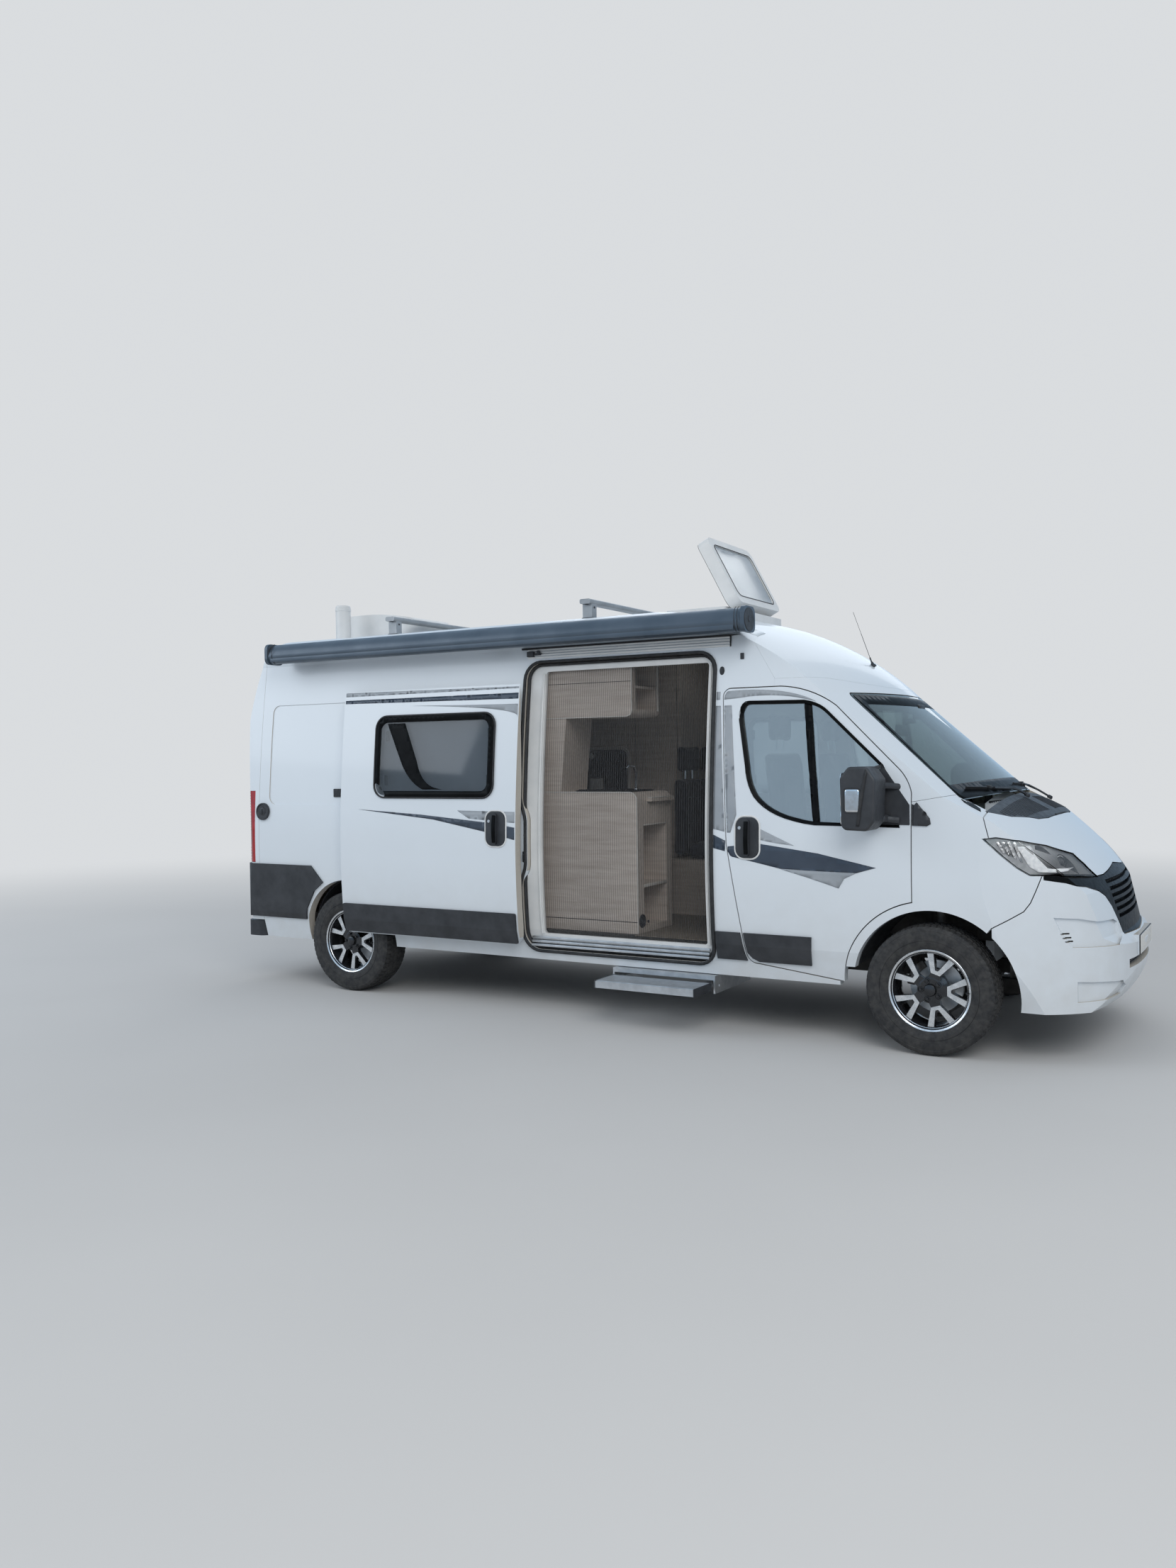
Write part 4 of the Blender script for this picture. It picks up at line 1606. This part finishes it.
knob.lathe([(0.0001, 0.018), (0.014, 0.016), (0.018, 0.01), (0.012, 0.003), (0.018, 0), (0.0001, 0)],
    (0.4305, 0.16, 0.76), (1, 0, 0), 28)
knob.done("knobs_white", M["white_plastic"])
bench_lines = Piece()
bench_lines.box((0.4295, 0.062, 0.614), (0.4325, 0.898, 0.618), 0.001)
bench_lines.box((0.4295, 0.062, 0.8), (0.4325, 0.52, 0.803), 0.001)
bench_lines.box((0.4295, 0.518, 0.62), (0.4325, 0.521, 0.895), 0.001)
bench_lines.done("bench_lines", RUBBER)
door_lines = Piece()
for x in (-0.395, -0.06):
    door_lines.box((x - 0.0015, PANEL_Y - 0.0005, 0.56), (x + 0.0015, PANEL_Y + 0.003, 2.25), 0.0005)
door_lines.done("washroom_door_lines", RUBBER)


# Cab: steering wheel, instruments, vents, screen and gear lever.

wheel_axis = Vector((-0.819, 0, 0.574))
hub = Vector((1.65, 0.46, 1.187))
pad = Piece()
pad.lathe([(0.0001, 0.02), (0.03, 0.018), (0.052, 0.01), (0.06, -0.004), (0.0001, -0.006)], hub, wheel_axis,
    40)
across, upward = Vector((0, 1, 0)), Vector((0.574, 0, 0.819))
rim_line = [hub + across * 0.183 * cos(a) + upward * 0.183 * sin(a) for a in turns(48)]
pad.sweep(rim_line, round_section(0.015, 12), closed=True, up=wheel_axis)
pad.done("steering_grip", M["dash_plastic"], smooth=60)
gauges = Piece()
gauges.sweep([(1.868, 0.3, 1.262), (1.868, 0.36, 1.315), (1.868, 0.46, 1.33), (1.868, 0.56, 1.315),
    (1.868, 0.62, 1.262)], flat_section(0.05, -0.008, 0.008), up=(0, 0, 1))
gauges.box((1.84, -0.15, 1.235), (1.868, 0.11, 1.262), 0.006)
for y in (-0.74, -0.24, 0.16, 0.74):
    gauges.lathe([(0.022, 0.0), (0.036, 0.01), (0.042, 0.004), (0.042, -0.01), (0.022, -0.01)],
        (1.842, y, 1.195), (-1, 0, 0.1), 28)
gauges.done("dash_forms", M["dash_plastic"])
screen = Piece()
screen.box((1.826, -0.11, 1.075), (1.838, 0.08, 1.185), 0.004)
screen.button(0.002, 0.042, 0.044, (1.862, 0.4, 1.275), (-1, 0, 0.2), 32)
screen.button(0.002, 0.042, 0.044, (1.862, 0.52, 1.275), (-1, 0, 0.2), 32)
screen.done("dash_screen", GLOSS)
lever = Piece()
lever.tube([(1.845, 0.05, 1.03), (1.8, 0.05, 1.06), (1.775, 0.05, 1.1)], 0.009, 12, up=(0, 1, 0))
lever.lathe([(0.0001, 0.045), (0.016, 0.04), (0.022, 0.022), (0.014, 0.004), (0.0001, 0)],
    (1.775, 0.05, 1.095), (-0.3, 0, 1), 28)
lever.done("gear_lever", BLACK, smooth=60)


# Roof: awning cap and rail, bar sleeves, the dome's base, the post's cap and the lid's fittings.

AWNING_LOW, AWNING_HIGH = Vector((-2.609, -1.138, 2.302)), Vector((1.075, -0.985, 2.442))
cap = Piece()
middle_z = (AWNING_LOW.z + AWNING_HIGH.z) / 2
for x, deep in ((AWNING_HIGH.x - 0.03, 0.034), (AWNING_LOW.x - 0.004, 0.034)):
    ring = []
    for i in range(32):
        a = 2 * pi * i / 32
        ring.append((x, -1.062 + 0.072 * cos(a) * (1 if cos(a) < 0 else 0.92),
            middle_z - 0.002 + 0.068 * sin(a)))
    cap.prism(ring, (deep, 0, 0))
    cap.button(0.003, 0.016, 0.02, (x + (deep if x > 0 else 0), -1.07, middle_z),
        (1 if x > 0 else -1, 0, 0), 28)
cap.done("awning_caps", BLACK, bevel=0.004)
lines = Piece()
for x in (1.012, 1.03, -2.545):
    lines.tube([(x, -1.0985 - 0.0365 * cos(a), middle_z + 0.0685 * sin(a))
        for a in [-pi / 2 + pi * i / 14 for i in range(15)]], 0.0016, 6, up=(1, 0, 0))
lines.done("awning_cap_lines", RUBBER)
lead = Piece()
hit = first_hit(["awning"], (0.0, -3, 2.33), (0, 1, 0))
front_y = hit[0].y if hit else AWNING_LOW.y
lead.sweep([(-2.56, front_y + 0.001, 2.33), (-0.8, front_y + 0.001, 2.33), (1.005, front_y + 0.001, 2.33)],
    [(-0.004, -0.016), (0.004, -0.016), (0.007, 0), (0.004, 0.016), (-0.004, 0.016)])
lead.done("awning_lead_rail", M["awning_grey"])
under = Piece()
hit = first_hit(["awning"], (0.0, -1.05, 1.9), (0, 0, 1))
low_z = hit[0].z if hit else AWNING_LOW.z
under.sweep([(-2.56, -1.085, low_z), (-0.8, -1.085, low_z), (1.005, -1.085, low_z)],
    flat_section(0.005, -0.003, 0.003))
under.done("awning_slot", RUBBER)

sleeves = Piece()
for bar_x in (-1.89, -0.26):
    sleeves.tube([(bar_x, y, 2.6215) for y in (-0.615, -0.3, 0.0, 0.3, 0.615)], 0.0165, 16, up=(1, 0, 0))
sleeves.done("roof_bar_tubes", M["bar_grey"], smooth=60)
ends = Piece()
for bar_x in (-1.89, -0.26):
    for side in (RIGHT, LEFT):
        ends.lathe([(0.0001, 0.012), (0.014, 0.01), (0.018, 0.004), (0.018, -0.018), (0.0001, -0.018)],
            (bar_x, side * 0.608, 2.62), (0, side, 0), 24)
        foot = lay("top", bar_x, side * 0.56, ["roof_panel"])
        ends.box((bar_x - 0.042, side * 0.56 - 0.036, foot.z - 0.01),
            (bar_x + 0.042, side * 0.56 + 0.036, foot.z + 0.012), 0.005)
        ends.button(0.004, 0.006, 0.008, (bar_x + 0.0355, side * 0.56, 2.585), (1, 0, 0), 6)
ends.done("roof_bar_ends", BLACK)


def roof_ring(name, outline, section):
    """A rubber band along a closed outline in the top view, resting on the roof."""
    piece = Piece()
    piece.sweep(laid("top", fine(outline, 0.04), ["roof_panel"]), section, closed=True)
    return piece.done(name, RUBBER, smooth=50)


roof_ring("dome_base_seal", rounded(-2.708, -1.952, -0.288, 0.248, 0.115),
    [(-0.01, -0.004), (0.01, -0.004), (0.008, 0.009), (-0.006, 0.009)])
roof_ring("skylight_base_seal", rounded(0.393 - 0.233, 0.393 + 0.233, -0.34, 0.34, 0.07),
    [(-0.01, -0.004), (0.01, -0.004), (0.008, 0.008), (-0.006, 0.008)])
post = Piece()
post.lathe([(0.056, 0.0), (0.0585, 0.003), (0.0585, 0.017), (0.056, 0.02)], (-2.5, -0.43, 2.735), (0, 0, 1),
    48)
post.lathe([(0.056, 0.0), (0.066, 0.0), (0.062, 0.014), (0.056, 0.018)],
    lay("top", -2.5, -0.5, ["roof_panel"]) + Vector((0, 0.07, -0.002)), (0, 0, 1), 48)
for i in range(6):
    post.box((-2.5 - 0.06, -0.4315, 2.64 + 0.012 * i), (-2.5 + 0.06, -0.4285, 2.646 + 0.012 * i), 0.001)
post.done("roof_post_trim", M["white_plastic"])

LID_HINGE = Vector((0.64, 0, 2.536))
LID_TILT = radians(62)
along_lid = Vector((-cos(LID_TILT), 0, sin(LID_TILT)))
out_lid = Vector((sin(LID_TILT), 0, cos(LID_TILT)))
side_axis = Vector((0, 1, 0))


def lid_place(far, across, out):
    """A place on the open lid: along from its hinge, across the van, outward of its rim plane."""
    return LID_HINGE + along_lid * far + side_axis * across + out_lid * out


lid = Piece()
rim = [lid_place(u, v, 0.001) for u, v in fine(rounded(0.008, 0.483, -0.342, 0.342, 0.05), 0.06)]
lid.sweep(rim, flat_section(0.006, -0.004, 0.004), closed=True, up=out_lid)
lid.done("skylight_rim_seal", RUBBER, "skylight_lid")
handle = Piece()
line = [lid_place(0.44, v, u) for v, u in ((-0.09, 0.055), (-0.085, 0.03), (0.085, 0.03), (0.09, 0.055))]
handle.tube(line, 0.007, 12, up=along_lid)
for v in (-0.3, 0.3):
    start, end = lid_place(0.03, v, 0.045), lid_place(0.3, v, 0.045)
    handle.tube([start, start.lerp(end, 0.45), end], 0.0055, 12, up=side_axis)
    handle.tube([start.lerp(end, 0.45), start.lerp(end, 0.8), end], 0.009, 12, up=side_axis)
handle.done("skylight_handle", M["bar_grey"], "skylight_lid")
glaze = Piece()
rim = [lid_place(u, v, 0.0805) for u, v in fine(rounded(0.052, 0.438, -0.298, 0.298, 0.042), 0.06)]
glaze.tube(rim, 0.003, 8, closed=True, up=out_lid)
glaze.done("skylight_pane_bead", RUBBER, "skylight_lid")


# Rear: window borders, hinges, handle, blank plate, high lamp, gap seal and bumper ribs.

REAR_GLASS = (0.11, 0.66, 1.39, 1.88)
for side, tag in SIDES:
    names = [f"rear_door_{tag}", f"rear_glass_{tag}"]
    body = f"rear_door_{tag}"
    low, high = sorted((side * REAR_GLASS[0], side * REAR_GLASS[1]))
    outline = rounded(low - 0.006, high + 0.006, REAR_GLASS[2] - 0.006, REAR_GLASS[3] + 0.006, 0.06)
    hole = rounded(low + 0.014, high - 0.014, REAR_GLASS[2] + 0.014, REAR_GLASS[3] - 0.014, 0.05)
    film(f"rear_glass_border_{tag}", outline, "rear", names, GLOSS, body, lift=0.001, thick=0.004,
        step=0.04, holes=[hole])
    heater = Piece()
    for i in range(9):
        z = REAR_GLASS[2] + 0.06 + i * 0.046
        line = laid("rear", [(low + 0.03 + (high - low - 0.06) * k / 8, z) for k in range(9)],
            [f"rear_glass_{tag}"], 0.0004)
        if len(line) > 2:
            heater.tube(line, 0.0006, 4)
    heater.done(f"rear_heater_{tag}", RUBBER, body)
    hinges = Piece()
    for z in (0.76, 1.3, 2.08):
        spot = lay("rear", side * 0.745, z, names)
        if spot is None:
            continue
        hinges.box((spot.x - 0.01, side * 0.69, z - 0.022), (spot.x + 0.01, side * 0.765, z + 0.022), 0.005)
        for dz in (-0.012, 0.012):
            hinges.button(0.003, 0.005, 0.006, (spot.x - 0.01, side * 0.708, z + dz), (-1, 0, 0), 6)
    hinges.done(f"rear_hinges_{tag}", M["body_white"], body)

spot = lay("rear", -0.075, 1.085, ["rear_door_right"])
handle = Piece()
outline = rounded(-0.18, -0.03, 1.03, 1.14, 0.02)
handle.prism([(spot.x - 0.004, y, z) for y, z in outline], (0.012, 0, 0))
handle.done("rear_handle_plate", BLACK, "rear_door_right", bevel=0.003)
grip = Piece()
grip.sweep([(spot.x - 0.004, -0.165, 1.105), (spot.x - 0.02, -0.15, 1.108), (spot.x - 0.02, -0.06, 1.108),
    (spot.x - 0.004, -0.045, 1.105)], flat_section(0.01, -0.005, 0.005))
grip.button(0.002, 0.009, 0.011, (spot.x - 0.004, -0.105, 1.058), (-1, 0, 0), 24)
grip.done("rear_handle_grip", GLOSS, "rear_door_right", bevel=0.002)
spot = lay("rear", 0.4, 1.085, ["rear_door_left"])
plate = Piece()
plate.prism([(spot.x - 0.002, y, z) for y, z in rounded(0.135, 0.665, 1.0, 1.122, 0.01)], (-0.002, 0, 0))
plate.done("rear_plate_blank", M["white_plastic"], "rear_door_left")
plate = Piece()
line = [(spot.x - 0.001, y, z) for y, z in rounded(0.129, 0.671, 0.994, 1.128, 0.012)]
plate.sweep(line, flat_section(0.004, -0.004, 0.005), closed=True, up=(-1, 0, 0))
plate.box((spot.x - 0.018, 0.17, 1.14), (spot.x + 0.004, 0.63, 1.172), 0.006)
plate.done("rear_plate_frame", BLACK, "rear_door_left")
lens = Piece()
for y in (0.26, 0.54):
    lens.box((spot.x - 0.014, y - 0.035, 1.136), (spot.x - 0.004, y + 0.035, 1.142), 0.002)
lens.done("rear_plate_lamps", GUIDE, "rear_door_left")

high = lay("rear", 0.0, 2.285, ["rear_frame", "roof_panel"])
brake = Piece()
brake.prism([(high.x - 0.006, y, z) for y, z in rounded(-0.15, 0.15, 2.268, 2.302, 0.012)], (0.014, 0, 0))
brake.done("high_lamp_lens", M["lamp_red"], bevel=0.002)
bezel = Piece()
line = [(high.x - 0.002, y, z) for y, z in rounded(-0.156, 0.156, 2.262, 2.308, 0.016)]
bezel.sweep(line, flat_section(0.004, -0.008, 0.005), closed=True, up=(-1, 0, 0))
bezel.done("high_lamp_bezel", BLACK)

gap = Piece()
line = [Vector((p.x + 0.004, 0.0, p.z)) for p in laid("rear", [(0.012, 0.49 + 0.05 * k) for k in range(35)],
    ["rear_door_left"])]
gap.sweep(line, [(-0.006, -0.003), (0.006, -0.003), (0.004, 0.003), (-0.004, 0.003)], up=(-1, 0, 0))
gap.done("rear_gap_seal", RUBBER, "rear_door_left")

ribs = Piece()
low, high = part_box("rear_bumper")
for k in range(5):
    x = low.x + 0.03 + 0.022 * k
    top = lay("top", x, 0.0, ["rear_bumper"])
    ribs.box((x - 0.004, -0.55, top.z - 0.002), (x + 0.004, 0.55, top.z + 0.004), 0.0015)
ribs.done("rear_step_ribs", BLACK)
reflectors = Piece()
for side in (RIGHT, LEFT):
    spot = lay("rear", side * 0.72, 0.385, ["rear_bumper"])
    reflectors.box((spot.x - 0.004, side * 0.665, 0.37), (spot.x + 0.006, side * 0.775, 0.4), 0.002)
reflectors.done("rear_reflectors", M["lamp_red"])


# Entry step: end caps, grip strips and bolts. Then the covers of the roof's seam and the side clips.

tread = Piece()
for x in (0.1475, 0.7945):
    tread.box((x - 0.004, -1.2535, 0.241), (x + 0.004, -1.02, 0.29), 0.002)
tread.done("step_end_caps", BLACK, "step_tread")
strips = Piece()
for i in range(8):
    y = -1.221 + 0.024 * i
    strips.box((0.156, y - 0.004, 0.2855), (0.786, y + 0.004, 0.2885), 0.001)
strips.done("step_grips", M["bar_grey"], "step_tread")
bolts = Piece()
for x in (0.126, 0.816):
    for y in (-0.94, -0.6):
        bolts.button(0.004, 0.006, 0.007, (x + (0.005 if x < 0.5 else -0.005), y, 0.262),
            (-1 if x < 0.5 else 1, 0, 0), 6)
bolts.done("step_bolts", M["aluminium"])

SEAM_X = (0.945, 1.02)
for side, tag in SIDES:
    patch = Piece()
    rows = []
    for k in range(13):
        y = side * (0.69 + 0.01 * k)
        ends = [lay("top", x, y, ["roof_panel", f"side_panel_{tag}", "cab_frame"], 0.0008) for x in SEAM_X]
        rows.append([patch.bm.verts.new(ends[0].lerp(ends[1], t)) for t in (0, 0.5, 1)])
    for a, b in zip(rows, rows[1:]):
        for k in range(2):
            patch.bm.faces.new((a[k], a[k + 1], b[k + 1], b[k]))
    patch = patch.done(f"roof_seam_cover_{tag}", M["body_white"])
    thicken(patch, 0.0015, 1 if patch.data.polygons[0].normal.z > 0 else -1)
    clips = Piece()
    names = [f"side_panel_{tag}", "roof_panel", "cab_frame"]
    spot = lay(side, 0.976, 2.178, names)
    if spot is not None:
        clips.box((0.965, spot.y, 2.16), (0.987, spot.y + side * 0.008, 2.196), 0.003)
    clips.done(f"side_clip_{tag}", BLACK)
